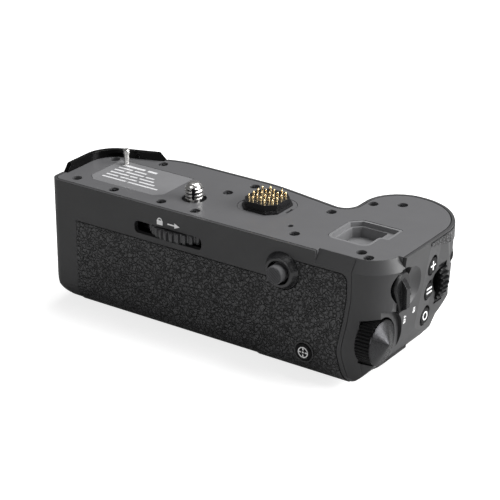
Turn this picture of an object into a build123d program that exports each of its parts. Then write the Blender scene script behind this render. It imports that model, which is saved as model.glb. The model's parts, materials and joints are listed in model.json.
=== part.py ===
from build123d import *
import math
import os

# Camera battery grip with vertical controls. Millimetres, +Z up. The origin is where the axis of the
# tripod screw meets the seating plane of the top plate. +X runs to the end with the controls, +Y to the
# front of the camera, and the rear face looks to -Y.

# Outer casing seen from above
screw_to_left = 51.5
screw_to_right = 83.3
screw_to_rear = 13.5
screw_to_front = 25.4
grip_front = 44.0
grip_left = 48.5
waist_y = 20.1
slope_start = 16.6
nose_start = 22.5
nose_end_y = 15.0
rear_left_radius = 3.5
rear_right_radius = 13.0
grip_radius = 20.5
grip_left_radius = 13.4
waist_radius = 5.0
slope_radius = 60.0
nose_radius = 30.0
left_front_radius = 12.0

# Outer casing seen from the rear and from the end
body_height = 45.0
end_lean = 4.7
left_lean = 0.8
bottom_left_radius = 12.0
bottom_right_radius = 19.0
bottom_rear_radius = 7.5
chin_y = 15.0
chin_height = 25.0
chin_radius = 12.0
chin_top_radius = 6.0
wall = 2.0
panel_wrap_share = 0.8
tooth_share = 0.55

# Swelling of the lower front that makes room for the battery
pod_front = 31.1
pod_left_y = 20.6
pod_nose = 26.0
pod_right = 36.0
pod_top_depth = 6.0
pod_shoulder_depth = 12.5
pod_edge_radius = 5.0
pod_corner_radius = 12.0

# Thumb rest that swells out of the lower right of the rear face
thumb_rest_height = 2.0
thumb_rest_reach = 19.0
thumb_rest_edge_radius = 9.5

# Seam between the main shell and the end cap
seam_x = 70.4
seam_waist_x = 67.4
seam_foot_x = 71.5
seam_gap = 0.16
seam_radius = 12.0
seam_bend_shares = (0.30, 0.72)

# Clearances and overruns
overrun = 1.0
far_overrun = 10.0
fit_gap = 0.15
running_gap = 0.06
moving_gap = 0.35
hair_gap = 0.02

# Top plate
plate_thickness = 1.8
rim_width = 1.0
plate_groove = 0.3
corner_start_x = 56.7
corner_end_y = 1.75
corner_inset = 2.9
corner_drop = 4.0
frame_thickness = 1.6
frame_drop = 1.4
ledge_width = 1.2
ledge_height = 1.5
boss_radius = 2.5

# Recessed cross-head screws
screw_head_radius = 1.65
screw_head_height = 0.8
screw_sink = 0.35
screw_shaft_radius = 0.8
screw_bore_gap = 0.15
screw_slot_width = 0.5
screw_slot_reach = 1.9
screw_slot_depth = 0.45
deep_screw_length = 8.0
guide_hole_radius = 1.0

# Places of the screws, as shares of the casing's reach on each side of the tripod screw
top_screw_shares = [
    (-0.522, -0.689),
    (-0.526, 0.736),
    (-0.144, -0.637),
    (0.079, -0.644),
    (0.077, 0.409),
    (0.131, 0.783),
    (0.527, -0.422),
    (0.529, 0.634),
]
deep_screw_shares = [(-0.850, -0.615), (-0.852, 0.512)]
cap_screw_shares = (0.880, -0.615)
cap_deep_screw_shares = (0.832, -0.444)
grip_screw_shares = (0.726, 0.782)
grip_deep_screw_shares = (0.623, 0.675)
guide_hole_shares = (0.473, -0.089)

# Lip that hooks round the camera's corner
lip_height = 2.7
lip_thickness = 1.7
lip_inset = 0.3
lip_root = 1.2
lip_end_slope = 2.2
lip_right_share = 0.555
lip_rear_share = 0.467

# Rating label
label_length = 31.2
label_width = 19.6
label_chamfer = 2.8
label_recess = 0.25
label_thickness = 0.2
label_centre_shares = (-0.503, 0.157)

# Tripod screw, its wheel and bearings
thread_major_radius = 3.175
thread_minor_radius = 2.55
thread_pitch = 1.27
thread_turns = 3
thread_crest = 0.32
thread_start = 0.5
screw_nose = 1.5
screw_nose_round_share = 0.9
screw_slot_cut_width = 0.7
screw_slot_count = 4
spindle_radius = 2.4
collar_radius = 4.2
collar_sink = 0.5
collar_flange = 1.6
collar_flange_thickness = 0.9
wheel_proud = 1.9
wheel_top_depth = 7.2
wheel_thickness = 3.6
wheel_rib_count = 40
wheel_rib_depth = 0.9
wheel_hub_radius = 5.0
wheel_hub_drop = 1.2
window_left_share = 0.293
window_right_share = 0.151
window_margin = 0.4
window_corner_radius = 1.6
bracket_thickness = 1.2
bracket_gap = 1.2
bracket_width = 10.0
bracket_overlap = 2.4
clip_radius = 3.6
clip_thickness = 0.5
clip_gap = 0.2

# Locating pin
pin_radius = 0.95
pin_head_radius = 1.25
pin_head_height = 1.6
pin_height = 5.6
pin_tip_chamfer = 0.35
pin_shares = (-0.730, 0.457)

# Contact block with spring pins
connector_shares = (0.283, 0.346)
connector_opening_x = 18.2
connector_opening_y = 16.9
connector_opening_radius = 6.0
connector_base_x = 14.4
connector_base_y = 15.0
connector_base_height = 0.7
connector_top_x = 12.9
connector_top_y = 13.6
connector_height = 2.9
connector_chamfer = 3.0
connector_depth = 4.7
connector_notch = 1.8
contact_pitch_x = 2.32
contact_pitch_y = 1.31
contact_columns = 5
contact_rows = 9
contact_radius = 0.42
contact_point_radius = 0.2
contact_point_height = 0.5
contact_tip_height = 4.5
contact_tail_depth = 4.6

# Pocket that stores the camera's connector cover
pocket_left_share = 0.636
pocket_width = 15.7
pocket_rear_share = 0.119
pocket_length = 17.9
pocket_tab_width = 2.8
pocket_tab_length = 9.3
pocket_cut = 3.5
pocket_corner_radius = 3.0
pocket_small_radius = 0.8
pocket_flush_gap = 0.1
pocket_flange = 0.9
pocket_ledge_depth = 1.5
pocket_ledge_width = 0.9
pocket_depth = 5.2
pocket_wall = 1.0

# Leather coverings
leather_proud = 0.25
leather_recess = 0.5
leather_gap = 0.12
panel_left_share = 0.786
panel_top_depth = 13.4
panel_high_depth = 5.3
panel_right = 68.7
panel_waist = 65.8
panel_foot = 69.5
panel_corner_radius = 2.5
panel_bend_radius = 10.0
band_start_y = 14.0
band_top_depth = 0.8
band_low_depth = 5.2
band_low_y = 29.0
front_panel_margin = 4.0
grip_panel_top_depth = 7.5
grip_panel_low_depth = 30.0
grip_panel_left = 50.5

# Rubber pad under the base and the tripod socket
pad_proud = 0.6
pad_recess = 0.6
pad_left_share = 0.70
pad_rear = 4.6
pad_front = 16.0
pad_right = 66.0
pad_tongue_right = 77.0
pad_tongue_rear = 1.5
pad_tongue_front = 13.0
pad_corner_radius = 3.0
socket_shares = (0.312, 0.236)
socket_radius = 5.5
socket_flange_radius = 6.5
socket_flange_thickness = 1.0
socket_sink = 0.2
socket_height = 6.6
socket_bore_radius = 2.65
socket_bore_depth = 5.7
socket_mouth_chamfer = 0.4
socket_boss_radius = 8.0
socket_boss_height = 4.6

# Joystick
joystick_share = 0.534
joystick_housing_gap = 0.2
joystick_collar_base_radius = 6.5
joystick_collar_front_radius = 5.1
joystick_collar_height = 2.5
joystick_bore_radius = 4.1
joystick_neck_radius = 4.8
joystick_knob_radius = 3.1
joystick_knob_front = 5.1
joystick_skirt_radius = 3.3
joystick_skirt_height = 1.1
joystick_knob_back = 0.9
joystick_knob_edge = 0.4
joystick_stem_radius = 1.1
joystick_stem_front = 2.2
joystick_press_room = 0.9
joystick_base_share = 0.2178
joystick_base_depth = 4.8
joystick_cavity_radius = 4.2
joystick_cavity_depth = 3.8
joystick_pivot_depth = 4.0
gimbal_radius = 3.4
gimbal_hole_radius = 2.3
gimbal_thickness = 1.0
trunnion_radius = 0.4
trunnion_reach = 4.7
crossbar_reach = 3.1

# Lock button on the thumb rest
af_share = 0.654
af_depth_share = 0.784
af_ring_radius = 3.75
af_ring_wall = 0.55
af_ring_proud = 0.35
af_button_proud = 0.7
af_button_thickness = 3.2
af_stem_radius = 1.0
af_stem_length = 1.8
af_edge = 0.3
af_travel_room = 0.85
tact_size = 5.0
tact_height = 1.6
rear_board_width = 12.0
rear_board_height = 13.2
rear_board_lift = 1.0
board_thickness = 1.2

# End cap
cap_cavity_depth = 5.1
cap_boss_radius = 1.8
crease_y = 14.5
crease_slant = 0.153
crease_turn_share = 0.123
button_field_depth = 1.2
band_foot_gap = 0.35
cap_tab_width = 6.0
cap_tab_thickness = 2.0

# Power lever
lever_y_share = 0.111
lever_depth_share = 0.2156
lever_hub_radius = 4.6
lever_tip_reach = 8.6
lever_tip_radius = 1.1
lever_thickness = 2.2
lever_recess_depth = 2.6
lever_recess_radius = 6.1
lever_sweep_reach = 10.2
lever_sweep_side = 9.5
lever_sweep_heel = 2.5
lever_fin_width = 2.2
lever_fin_height = 2.0
lever_fin_slope = 3.0
lever_shaft_radius = 1.5
lever_shaft_length = 5.4
lever_bowl_radius = 12.0
lever_bowl_offset = 4.4
lever_bowl_drop = 3.4
power_switch_size = 5.4
power_switch_depth = 3.0

# Three function buttons
function_button_y_share = 0.72
function_button_depth_shares = (0.233, 0.4356, 0.6467)
function_button_radius = 2.9
function_button_thickness = 1.9
function_button_proud = 0.25
function_button_edge = 0.35
function_recess_radius = 3.6
function_recess_depth = 2.8
function_stem_radius = 1.2
function_stem_gap = 0.3
dome_radius = 1.9
dome_height = 0.9
button_travel = 0.6
control_board_gap = 0.5
board_screw_shares = [(-0.5, 0.35), (0.508, 0.213), (0.285, 0.76)]
board_low_share = 0.82

# Front dial
front_dial_radius = 10.4
front_dial_tooth_depth = 0.7
front_dial_teeth = 34
front_dial_width = 4.6
front_dial_proud = 1.2
front_dial_y_share = 0.5545
front_dial_depth_share = 0.4267
front_axle_radius = 1.2
front_bearing_width = 1.6
front_bearing_height = 4.4
front_bearing_back = 2.6
dial_scoop_radius = 7.0
dial_scoop_offset = 5.6
encoder_radius = 2.3
encoder_thickness = 1.6

# Shutter button on the front corner
shutter_angle = 47.0
shutter_depth_share = 0.307
shutter_radius = 3.4
shutter_ring_radius = 4.2
shutter_ring_proud = 0.5
shutter_ring_depth = 1.9
shutter_proud = 1.4
shutter_thickness = 1.5
shutter_edge = 0.6
shutter_travel = 0.8
shutter_stem_radius = 1.2
shutter_stem_out = 0.5
shutter_switch_size = 3.6
shutter_switch_height = 0.8
shutter_bridge_thickness = 0.8

# Rear dial
rear_dial_y_share = 0.689
rear_dial_depth_share = 0.611
rear_dial_radius = 7.6
rear_dial_rib_depth = 0.35
rear_dial_ribs = 40
rear_dial_start = 3.4
rear_dial_width = 5.4
rear_dial_disc_thickness = 0.7
rear_dial_cone_height = 2.5
rear_dial_cone_tip_radius = 0.8
rear_dial_pocket_radius = 8.3
rear_dial_scoop_radius = 10.6
rear_dial_housing_wall = 1.2
rear_axle_radius = 1.4
rear_axle_back = 3.0

# Main circuit board and ribbon cable
main_board_left = 18.2
main_board_right = 51.0
main_board_rear = 5.4
main_board_front = 16.6
board_post_height = 1.4
board_post_radius = 1.2
board_post_inset = 2.0
board_post_left = 33.2
ribbon_thickness = 0.15
ribbon_width = 4.0
ribbon_start_overlap = 1.5
ribbon_drop = 5.0

# Battery bay: a removable tray whose end cover is part of the casing's left end
battery_length = 56.0
battery_width = 31.8
battery_height_share = 0.411
battery_play = 0.3
tray_floor = 1.0
tray_lift = 0.8
tray_rail = 0.7
tray_rail_height = 4.0
tray_lip_height = 2.0
tray_end_wall = 1.6
key_gap = 1.2
cover_plate_depth = 3.9
cover_skirt = 4.8
bay_gap = 0.3
chamber_wall = 1.2
seal_width = 0.5
seal_thickness = 0.9
contact_block_width = 16.0
contact_block_height = 8.0
contact_block_depth = 3.2
blade_count = 4
blade_width = 1.2
blade_height = 5.0
blade_proud = 2.1
tray_screw_radius = 1.0
tray_screw_head = 1.8
tray_screw_length = 3.4

# Turn key that locks the tray
key_y_share = 0.26
key_depth_share = 0.705
key_radius = 6.4
key_disc_thickness = 0.7
key_bar_width = 2.4
key_bar_height = 1.0
key_recess = 1.6
key_shaft_radius = 1.6
key_reach_share = 0.47
key_arm_width = 2.4
key_arm_thickness = 0.8
keeper_depth = 1.1
keeper_entry_share = 0.55

# Places and sizes that follow from the ones above
casing_top = far_overrun
rear_y = -screw_to_rear
frame_top = -(plate_thickness + frame_drop)
frame_low = frame_top - frame_thickness
joystick_base_size = joystick_base_share * body_height
joystick_z = frame_low - joystick_housing_gap - joystick_base_size / 2
bay_floor = -(body_height - wall)
battery_height = battery_height_share * body_height
tray_low = bay_floor + tray_lift
tray_top_face = tray_low + tray_floor
bay_ceiling = tray_top_face + battery_height + battery_play
battery_left = -(screw_to_left - cover_plate_depth - key_gap - tray_end_wall)
battery_right = battery_left + battery_length + battery_play
chamber_right = battery_right + bay_gap + tray_rail
bay_rear = rear_y + wall
tray_rear = bay_rear + bay_gap
battery_rear = tray_rear + tray_rail
battery_front = battery_rear + battery_width + battery_play
tray_front = battery_front + tray_rail
bay_front = tray_front + bay_gap
cover_inner_x = battery_left - tray_end_wall - key_gap
bay_edge_x = cover_inner_x + key_gap + bay_gap
opening_edge_x = bay_edge_x + cover_skirt
key_arm_reach = key_reach_share * battery_height
control_board_x = seam_x + control_board_gap
cavity_x = seam_x + cap_cavity_depth


def along_x(share):
    """Place along X as a share of the casing's reach on that side of the screw."""
    return share * (screw_to_right if share > 0 else screw_to_left)


def along_y(share):
    """Place along Y as a share of the casing's reach on that side of the screw."""
    return share * (screw_to_front if share > 0 else screw_to_rear)


def place(shares):
    """A point on the plate from a pair of shares."""
    return along_x(shares[0]), along_y(shares[1])


def grip_place(shares):
    """A point on the hand grip, whose depth has its own size."""
    return shares[0] * screw_to_right, shares[1] * grip_front


def depth(share):
    """Height below the seating plane as a share of the body's height."""
    return -share * body_height


def place_on_end(shares):
    """Y and Z of a point on the end face."""
    return along_y(shares[0]), depth(shares[1])


def end_x(z):
    """Where the leaning end face stands at a height."""
    return screw_to_right + end_lean * z / body_height


def left_x(z):
    """Where the leaning left end stands at a height."""
    return -screw_to_left - left_lean * z / body_height


def field_x(y, z):
    """Surface of the button field, which turns away in front of the crease."""
    past_crease = y - (crease_y + crease_slant * z)
    return end_x(z) - min(button_field_depth, crease_turn_share * max(0.0, past_crease))


def block(x0, x1, y0, y1, z0, z1):
    """Square block between two values on each axis."""
    centre = Pos((x0 + x1) / 2, (y0 + y1) / 2, (z0 + z1) / 2)
    return centre * Box(abs(x1 - x0), abs(y1 - y0), abs(z1 - z0))


def rod_z(x, y, z0, z1, radius, top_radius=None):
    """Upright round bar, or a cone when it has a second radius."""
    place_at = Pos(x, y, (z0 + z1) / 2)
    if top_radius is None:
        return place_at * Cylinder(radius, z1 - z0)
    return place_at * Cone(radius, top_radius, z1 - z0)


def rod_x(y, z, x0, x1, radius, far_radius=None):
    """Round bar along X, or a cone when it has a second radius."""
    place_at = Pos((x0 + x1) / 2, y, z) * Rot(0, 90, 0)
    if far_radius is None:
        return place_at * Cylinder(radius, x1 - x0)
    return place_at * Cone(radius, far_radius, x1 - x0)


def rod_y(x, z, y0, y1, radius, rear_radius=None):
    """Round bar along Y; the second radius is the one at the rear end, y0."""
    place_at = Pos(x, (y0 + y1) / 2, z) * Rot(90, 0, 0)
    if rear_radius is None:
        return place_at * Cylinder(radius, y1 - y0)
    return place_at * Cone(radius, rear_radius, y1 - y0)


def prism_z(face, z0, z1):
    """A plan outline carried upward between two heights."""
    return extrude(Pos(0, 0, z0) * face, amount=z1 - z0)


def prism_y(face, y0, y1):
    """An outline drawn in X and Z, carried between two values of Y."""
    plane = Plane(origin=(0, y1, 0), x_dir=(1, 0, 0), z_dir=(0, -1, 0))
    return extrude(plane * face, amount=y1 - y0)


def prism_x(face, x0, x1):
    """An outline drawn in Y and Z, carried between two values of X."""
    plane = Plane(origin=(x0, 0, 0), x_dir=(0, 1, 0), z_dir=(1, 0, 0))
    return extrude(plane * face, amount=x1 - x0)


def outline(points, radii):
    """Closed outline with a radius at each corner."""
    return make_face(FilletPolyline(*points, radius=radii, close=True))


def shrink(face, inset):
    """The outline drawn in, or let out when the inset is negative."""
    return face if inset == 0 else offset(face, amount=-inset)


def toothed_disc(radius, tooth_depth, count, tooth_share):
    """Face of a wheel with square teeth round its edge."""
    face = Circle(radius)
    gap_angle = 2 * math.pi * radius / count * (1 - tooth_share)
    notch = Rectangle(tooth_depth + tooth_depth, gap_angle)
    cuts = [Rot(0, 0, 360 * k / count) * Pos(radius, 0) * notch for k in range(count)]
    return face - cuts


def plan_face():
    """Outline of the casing from above."""
    points = [
        (-screw_to_left, rear_y),
        (screw_to_right, rear_y),
        (screw_to_right, grip_front),
        (grip_left, grip_front),
        (grip_left, waist_y),
        (slope_start, screw_to_front),
        (-nose_start, screw_to_front),
        (-screw_to_left, nose_end_y),
    ]
    radii = [
        rear_left_radius,
        rear_right_radius,
        grip_radius,
        grip_left_radius,
        waist_radius,
        slope_radius,
        nose_radius,
        left_front_radius,
    ]
    return outline(points, radii)


def rear_view_face():
    """Outline of the casing from the rear, with leaning ends and round lower corners."""
    points = [
        (left_x(casing_top), casing_top),
        (left_x(-body_height), -body_height),
        (end_x(-body_height), -body_height),
        (end_x(casing_top), casing_top),
    ]
    return outline(points, [0, bottom_left_radius, bottom_right_radius, 0])


def end_view_face():
    """Outline of the casing from the end, with the slope under the hand grip."""
    points = [
        (rear_y, casing_top),
        (rear_y, -body_height),
        (chin_y, -body_height),
        (grip_front, chin_height - body_height),
        (grip_front, casing_top),
    ]
    return outline(points, [0, bottom_rear_radius, chin_radius, chin_top_radius, 0])


def pod_volume(inset):
    """Swelling of the lower front wall."""
    plan = [
        (-screw_to_left, 0),
        (-screw_to_left, pod_left_y),
        (-pod_nose, pod_front),
        (pod_right, pod_front),
        (grip_left, waist_y),
        (grip_left, 0),
    ]
    plan_radii = [0, pod_corner_radius, nose_radius, pod_corner_radius, 0, 0]
    side = [
        (0, -pod_top_depth),
        (screw_to_front, -pod_top_depth),
        (pod_front, -pod_shoulder_depth),
        (pod_front, -body_height),
        (0, -body_height),
    ]
    side_radii = [0, 0, pod_edge_radius, pod_edge_radius, 0]
    upright = prism_z(shrink(outline(plan, plan_radii), inset), -body_height - overrun, 0)
    along = prism_x(shrink(outline(side, side_radii), inset), -screw_to_left - far_overrun, screw_to_right)
    return upright & along


def thumb_rest_volume(inset):
    """Shallow dome on the lower right of the rear face."""
    radius = (thumb_rest_reach**2 + thumb_rest_height**2) / (2 * thumb_rest_height)
    centre_y = rear_y - thumb_rest_height + radius
    dome = Pos(along_x(af_share), centre_y, depth(af_depth_share)) * Sphere(radius - inset)
    side = [
        (rear_y - thumb_rest_height, 0),
        (rear_y - thumb_rest_height, -body_height),
        (0, -body_height),
        (0, 0),
    ]
    side_face = shrink(outline(side, [0, thumb_rest_edge_radius, 0, 0]), inset)
    reach = thumb_rest_reach + overrun
    x_middle = along_x(af_share)
    return dome & prism_x(side_face, x_middle - reach, x_middle + reach)


def body_volume(inset, top=0.0):
    """Outer form of the casing, drawn in by the inset everywhere but at the top."""
    upright = prism_z(shrink(plan_face(), inset), -body_height - overrun, top)
    from_rear = prism_y(shrink(rear_view_face(), inset), rear_y - far_overrun, grip_front + far_overrun)
    reach = screw_to_right + far_overrun
    from_end = prism_x(shrink(end_view_face(), inset - hair_gap), -screw_to_left - far_overrun, reach)
    whole = (upright & from_end) + pod_volume(inset)
    return (whole + thumb_rest_volume(inset)) & from_rear


def cap_side(gap):
    """Everything to the right of the seam, moved right by the gap."""
    right = screw_to_right + far_overrun
    top_bend = depth(seam_bend_shares[0])
    low_bend = depth(seam_bend_shares[1])
    low = -body_height - far_overrun
    points = [
        (seam_x + gap, casing_top),
        (seam_x + gap, top_bend),
        (seam_waist_x + gap, low_bend),
        (seam_foot_x + gap, -body_height),
        (seam_foot_x + gap, low),
        (right, low),
        (right, casing_top),
    ]
    radii = [0, seam_radius, seam_radius, 0, 0, 0, 0]
    return prism_y(outline(points, radii), rear_y - far_overrun, grip_front + far_overrun)


def corner_zone():
    """Rear right corner, where the plate runs out to the casing's chamfer."""
    far_x = screw_to_right + far_overrun
    return block(corner_start_x, far_x, rear_y - far_overrun, -corner_end_y, -body_height, casing_top)


def corner_wedge():
    """What the chamfer takes off the rear right corner."""
    start = corner_start_x - far_overrun
    faces = []
    for z, inset in ((-corner_drop, 0), (overrun, corner_inset * (1 + overrun / corner_drop))):
        right = screw_to_right - inset
        rear = rear_y + inset
        points = [(start, grip_front), (start, rear), (right, rear), (right, grip_front)]
        faces.append(Pos(0, 0, z) * outline(points, [0, 0, rear_right_radius - inset, 0]))
    kept = loft(faces, ruled=True)
    far_x = screw_to_right + far_overrun
    zone = block(corner_start_x, far_x, rear_y - far_overrun, -corner_end_y, -corner_drop, overrun)
    return zone - kept


def plate_face():
    """Outline of the top plate."""
    inner = shrink(plan_face(), rim_width + plate_groove)
    width = screw_to_right + far_overrun - corner_start_x
    height = screw_to_rear + far_overrun - corner_end_y
    centre = Pos(corner_start_x + width / 2, -corner_end_y - height / 2)
    corner = centre * Rectangle(width, height)
    return inner - (corner - shrink(plan_face(), corner_inset))


def plate_recess():
    """Room for the top plate in the casing's rim."""
    rim = prism_z(shrink(plan_face(), rim_width), -plate_thickness, overrun)
    kept = prism_z(shrink(plan_face(), corner_inset - hair_gap), -body_height, far_overrun)
    return rim - (corner_zone() - kept)


def inside_volume():
    """Hollow of the casing; its wall is thicker under the chamfered corner."""
    shoulder = corner_zone() - body_volume(corner_inset + rim_width, overrun)
    low = -plate_thickness - rim_width
    far_x = screw_to_right + far_overrun
    shoulder &= block(corner_start_x, far_x, rear_y - overrun, -corner_end_y, low, overrun)
    return body_volume(wall, overrun) - shoulder


def lip_band(outer_inset, inner_inset, low, high, end_gap):
    """Curved band along the front left corner of the casing."""
    band = shrink(plan_face(), outer_inset) - shrink(plan_face(), inner_inset)
    right = -lip_right_share * screw_to_left + end_gap
    rear = -lip_rear_share * screw_to_rear - end_gap
    left = -screw_to_left - far_overrun
    front = screw_to_front + far_overrun
    return prism_z(band, low, high) & block(left, right, rear, front, low, high)


def camera_lip():
    """Glossy lip with ends that slope down to the casing."""
    lip = lip_band(lip_inset, lip_inset + lip_thickness, -lip_root, lip_height, 0)
    right = -lip_right_share * screw_to_left
    rear = -lip_rear_share * screw_to_rear
    right_end = [(right - lip_end_slope, lip_height), (right, 0), (right, lip_height)]
    rear_end = [(rear + lip_end_slope, lip_height), (rear, 0), (rear, lip_height)]
    front = screw_to_front + far_overrun
    lip -= prism_y(make_face(Polyline(*right_end, close=True)), 0, front)
    left = -screw_to_left - far_overrun
    return lip - prism_x(make_face(Polyline(*rear_end, close=True)), left, 0)


def label_face(grow):
    """Label outline with the two corners towards the rear cut off."""
    half_length = label_length / 2 + grow
    half_width = label_width / 2 + grow
    x, y = place(label_centre_shares)
    points = [
        (x - half_length + label_chamfer, y - half_width),
        (x + half_length - label_chamfer, y - half_width),
        (x + half_length, y - half_width + label_chamfer),
        (x + half_length, y + half_width),
        (x - half_length, y + half_width),
        (x - half_length, y - half_width + label_chamfer),
    ]
    return make_face(Polyline(*points, close=True))


def rating_label():
    """Thin label with a hole for the locating pin."""
    label = prism_z(label_face(0), -label_recess, -label_recess + label_thickness)
    x, y = place(pin_shares)
    return label - rod_z(x, y, -overrun, overrun, pin_radius + fit_gap)


def frame_screw_places():
    """Screws that hold the plate to the inner frame."""
    return [place(shares) for shares in top_screw_shares] + [grip_place(grip_screw_shares)]


def all_top_screw_places():
    """All the screws whose heads lie just below the plate's face."""
    return frame_screw_places() + [place(cap_screw_shares)]


def shell_deep_places():
    """Deep screws that go into bosses of the main shell."""
    return [place(shares) for shares in deep_screw_shares] + [grip_place(grip_deep_screw_shares)]


def all_deep_places():
    """All the screws at the bottom of deep bores."""
    return shell_deep_places() + [place(cap_deep_screw_shares)]


def connector_face(grow):
    """Rounded opening round the contact block."""
    x, y = place(connector_shares)
    size_x = connector_opening_x + 2 * grow
    size_y = connector_opening_y + 2 * grow
    return Pos(x, y) * RectangleRounded(size_x, size_y, connector_opening_radius + grow)


def chamfered_block(size_x, size_y, cut, z0, z1, grow=0.0):
    """Block of the connector with its corners cut off."""
    x, y = place(connector_shares)
    half_x = size_x / 2 + grow
    half_y = size_y / 2 + grow
    points = [
        (x - half_x + cut, y - half_y),
        (x + half_x - cut, y - half_y),
        (x + half_x, y - half_y + cut),
        (x + half_x, y + half_y - cut),
        (x + half_x - cut, y + half_y),
        (x - half_x + cut, y + half_y),
        (x - half_x, y + half_y - cut),
        (x - half_x, y - half_y + cut),
    ]
    return prism_z(make_face(Polyline(*points, close=True)), z0, z1)


def pocket_face(inset, tab=True):
    """Outline of the cover pocket, with or without its finger tab."""
    left = along_x(pocket_left_share)
    rear = -pocket_rear_share * screw_to_rear
    right = left + pocket_width
    front = rear + pocket_length
    tab_rear = front - pocket_tab_length
    if tab:
        points = [
            (left, rear),
            (right, rear),
            (right, tab_rear),
            (right + pocket_tab_width, tab_rear),
            (right + pocket_tab_width, front),
            (left + pocket_cut, front),
            (left, front - pocket_cut),
        ]
        small = pocket_small_radius
        radii = [pocket_corner_radius, pocket_corner_radius, small, small, small, small, small]
    else:
        points = [
            (left, rear),
            (right, rear),
            (right, front),
            (left + pocket_cut, front),
            (left, front - pocket_cut),
        ]
        small = pocket_small_radius + inset
        radii = [pocket_corner_radius, pocket_corner_radius, small, small, small]
    return shrink(outline(points, radii), inset)


def top_plate():
    """Seating plate with its bosses, bores and openings."""
    plate = prism_z(plate_face(), -plate_thickness, 0)
    room = prism_z(shrink(plan_face(), wall + fit_gap), frame_top, 0)
    for x, y in frame_screw_places() + [place(pin_shares)]:
        plate += rod_z(x, y, frame_top, -plate_thickness, boss_radius) & room
    pin_x, pin_y = place(pin_shares)
    bore = screw_head_radius + screw_bore_gap
    for x, y in all_top_screw_places():
        plate -= rod_z(x, y, -screw_sink - screw_head_height, overrun, bore)
        plate -= rod_z(x, y, frame_top - overrun, 0, screw_shaft_radius + screw_bore_gap)
    for x, y in all_deep_places():
        plate -= rod_z(x, y, -plate_thickness - overrun, overrun, bore)
    plate -= rod_z(0, 0, -plate_thickness - overrun, overrun, collar_radius + hair_gap)
    plate -= rod_z(pin_x, pin_y, frame_top - overrun, overrun, pin_radius + hair_gap)
    hole_x, hole_y = place(guide_hole_shares)
    plate -= rod_z(hole_x, hole_y, -plate_thickness - overrun, overrun, guide_hole_radius)
    plate -= prism_z(label_face(fit_gap), -label_recess, overrun)
    plate -= prism_z(connector_face(fit_gap), -plate_thickness - overrun, overrun)
    plate -= prism_z(pocket_face(-fit_gap), -plate_thickness - overrun, overrun)
    inner = lip_inset + lip_thickness + fit_gap
    return plate - lip_band(-overrun, inner, -plate_thickness - overrun, overrun, fit_gap)


def inner_frame():
    """Flat chassis under the plate that carries the screws, the wheel bracket and the main board."""
    outer = shrink(plan_face(), wall + moving_gap)
    frame = prism_z(outer, frame_low, frame_top)
    right = seam_x - cap_tab_width
    far = grip_front + far_overrun
    frame &= block(-screw_to_left, right, rear_y, far, frame_low, frame_top)
    frame -= rod_z(0, 0, frame_low - overrun, 0, collar_radius + fit_gap)
    for x, y in frame_screw_places():
        frame -= rod_z(x, y, frame_low - overrun, 0, screw_shaft_radius + hair_gap)
    for x, y in all_deep_places():
        frame -= rod_z(x, y, frame_low - overrun, 0, screw_head_radius + screw_bore_gap)
    frame -= chamfered_block(
        connector_base_x, connector_base_y, connector_chamfer, frame_low - overrun, 0, fit_gap
    )
    cup = pocket_face(pocket_flange + pocket_ledge_width - pocket_wall - fit_gap, tab=False)
    frame -= prism_z(cup, frame_low - overrun, 0)
    for x in (board_post_left, main_board_right - board_post_inset):
        for y in (board_post_inset - main_board_rear, main_board_front - board_post_inset):
            frame += rod_z(x, y, frame_low - board_post_height, frame_low, board_post_radius)
    pin_x, pin_y = place(pin_shares)
    return frame - rod_z(pin_x, pin_y, frame_low - overrun, frame_top - frame_thickness / 2, pin_radius)


def panel_face(grow):
    """Outline of the leather on the rear face, before the joystick's circle is cut."""
    left = -panel_left_share * screw_to_left - grow
    stick_x = along_x(joystick_share)
    low = -body_height - far_overrun
    top = -panel_top_depth + grow
    high = -panel_high_depth + grow
    points = [
        (left, low),
        (left, top),
        (stick_x, top),
        (stick_x, high),
        (panel_right + grow, high),
        (panel_right + grow, depth(seam_bend_shares[0])),
        (panel_waist + grow, depth(seam_bend_shares[1])),
        (panel_foot + grow, -body_height),
        (panel_foot + grow, low),
    ]
    bend = panel_bend_radius
    return outline(points, [0, 0, 0, 0, panel_corner_radius, bend, bend, 0, 0])


def rear_panel_zone(grow):
    """Space of the rear leather, down to where the base begins."""
    zone = prism_y(
        panel_face(grow), rear_y - far_overrun, rear_y + panel_wrap_share * bottom_rear_radius + grow
    )
    stick_x = along_x(joystick_share)
    stick_z = joystick_z
    margin = joystick_collar_base_radius + leather_gap - grow
    zone -= rod_y(stick_x, stick_z, rear_y - far_overrun, 0, margin)
    return zone


def skin(zone, outer_inset, inner_inset):
    """Layer of the casing's skin between two insets, inside a zone."""
    return (body_volume(outer_inset) & zone) - body_volume(inner_inset)


def rear_leather():
    """Leather of the rear face with the lock button's hole."""
    leather = skin(rear_panel_zone(0), -leather_proud, leather_recess)
    x, z = along_x(af_share), depth(af_depth_share)
    return leather - rod_y(x, z, rear_y - far_overrun, 0, af_ring_radius + leather_gap)


def front_panel_zone(grow):
    """Space of the flat leather on the battery swelling."""
    left = -pod_nose + front_panel_margin - grow
    right = pod_right - 2 * front_panel_margin + grow
    low = -body_height + pod_edge_radius + front_panel_margin / 2 - grow
    high = -pod_shoulder_depth - front_panel_margin + grow
    return block(left, right, pod_front - front_panel_margin, pod_front + overrun, low, high)


def grip_panel_zone(grow):
    """Space of the leather on the hand grip's front."""
    low = depth(seam_bend_shares[1])
    points = [
        (grip_panel_left - grow, -grip_panel_top_depth + grow),
        (seam_x - panel_corner_radius + grow, -grip_panel_top_depth + grow),
        (seam_waist_x - panel_corner_radius + grow, low - grow),
        (grip_panel_left - grow, low - grow),
    ]
    face = outline(points, [panel_corner_radius] * 4)
    return prism_y(face, screw_to_front, grip_front + far_overrun)


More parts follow.
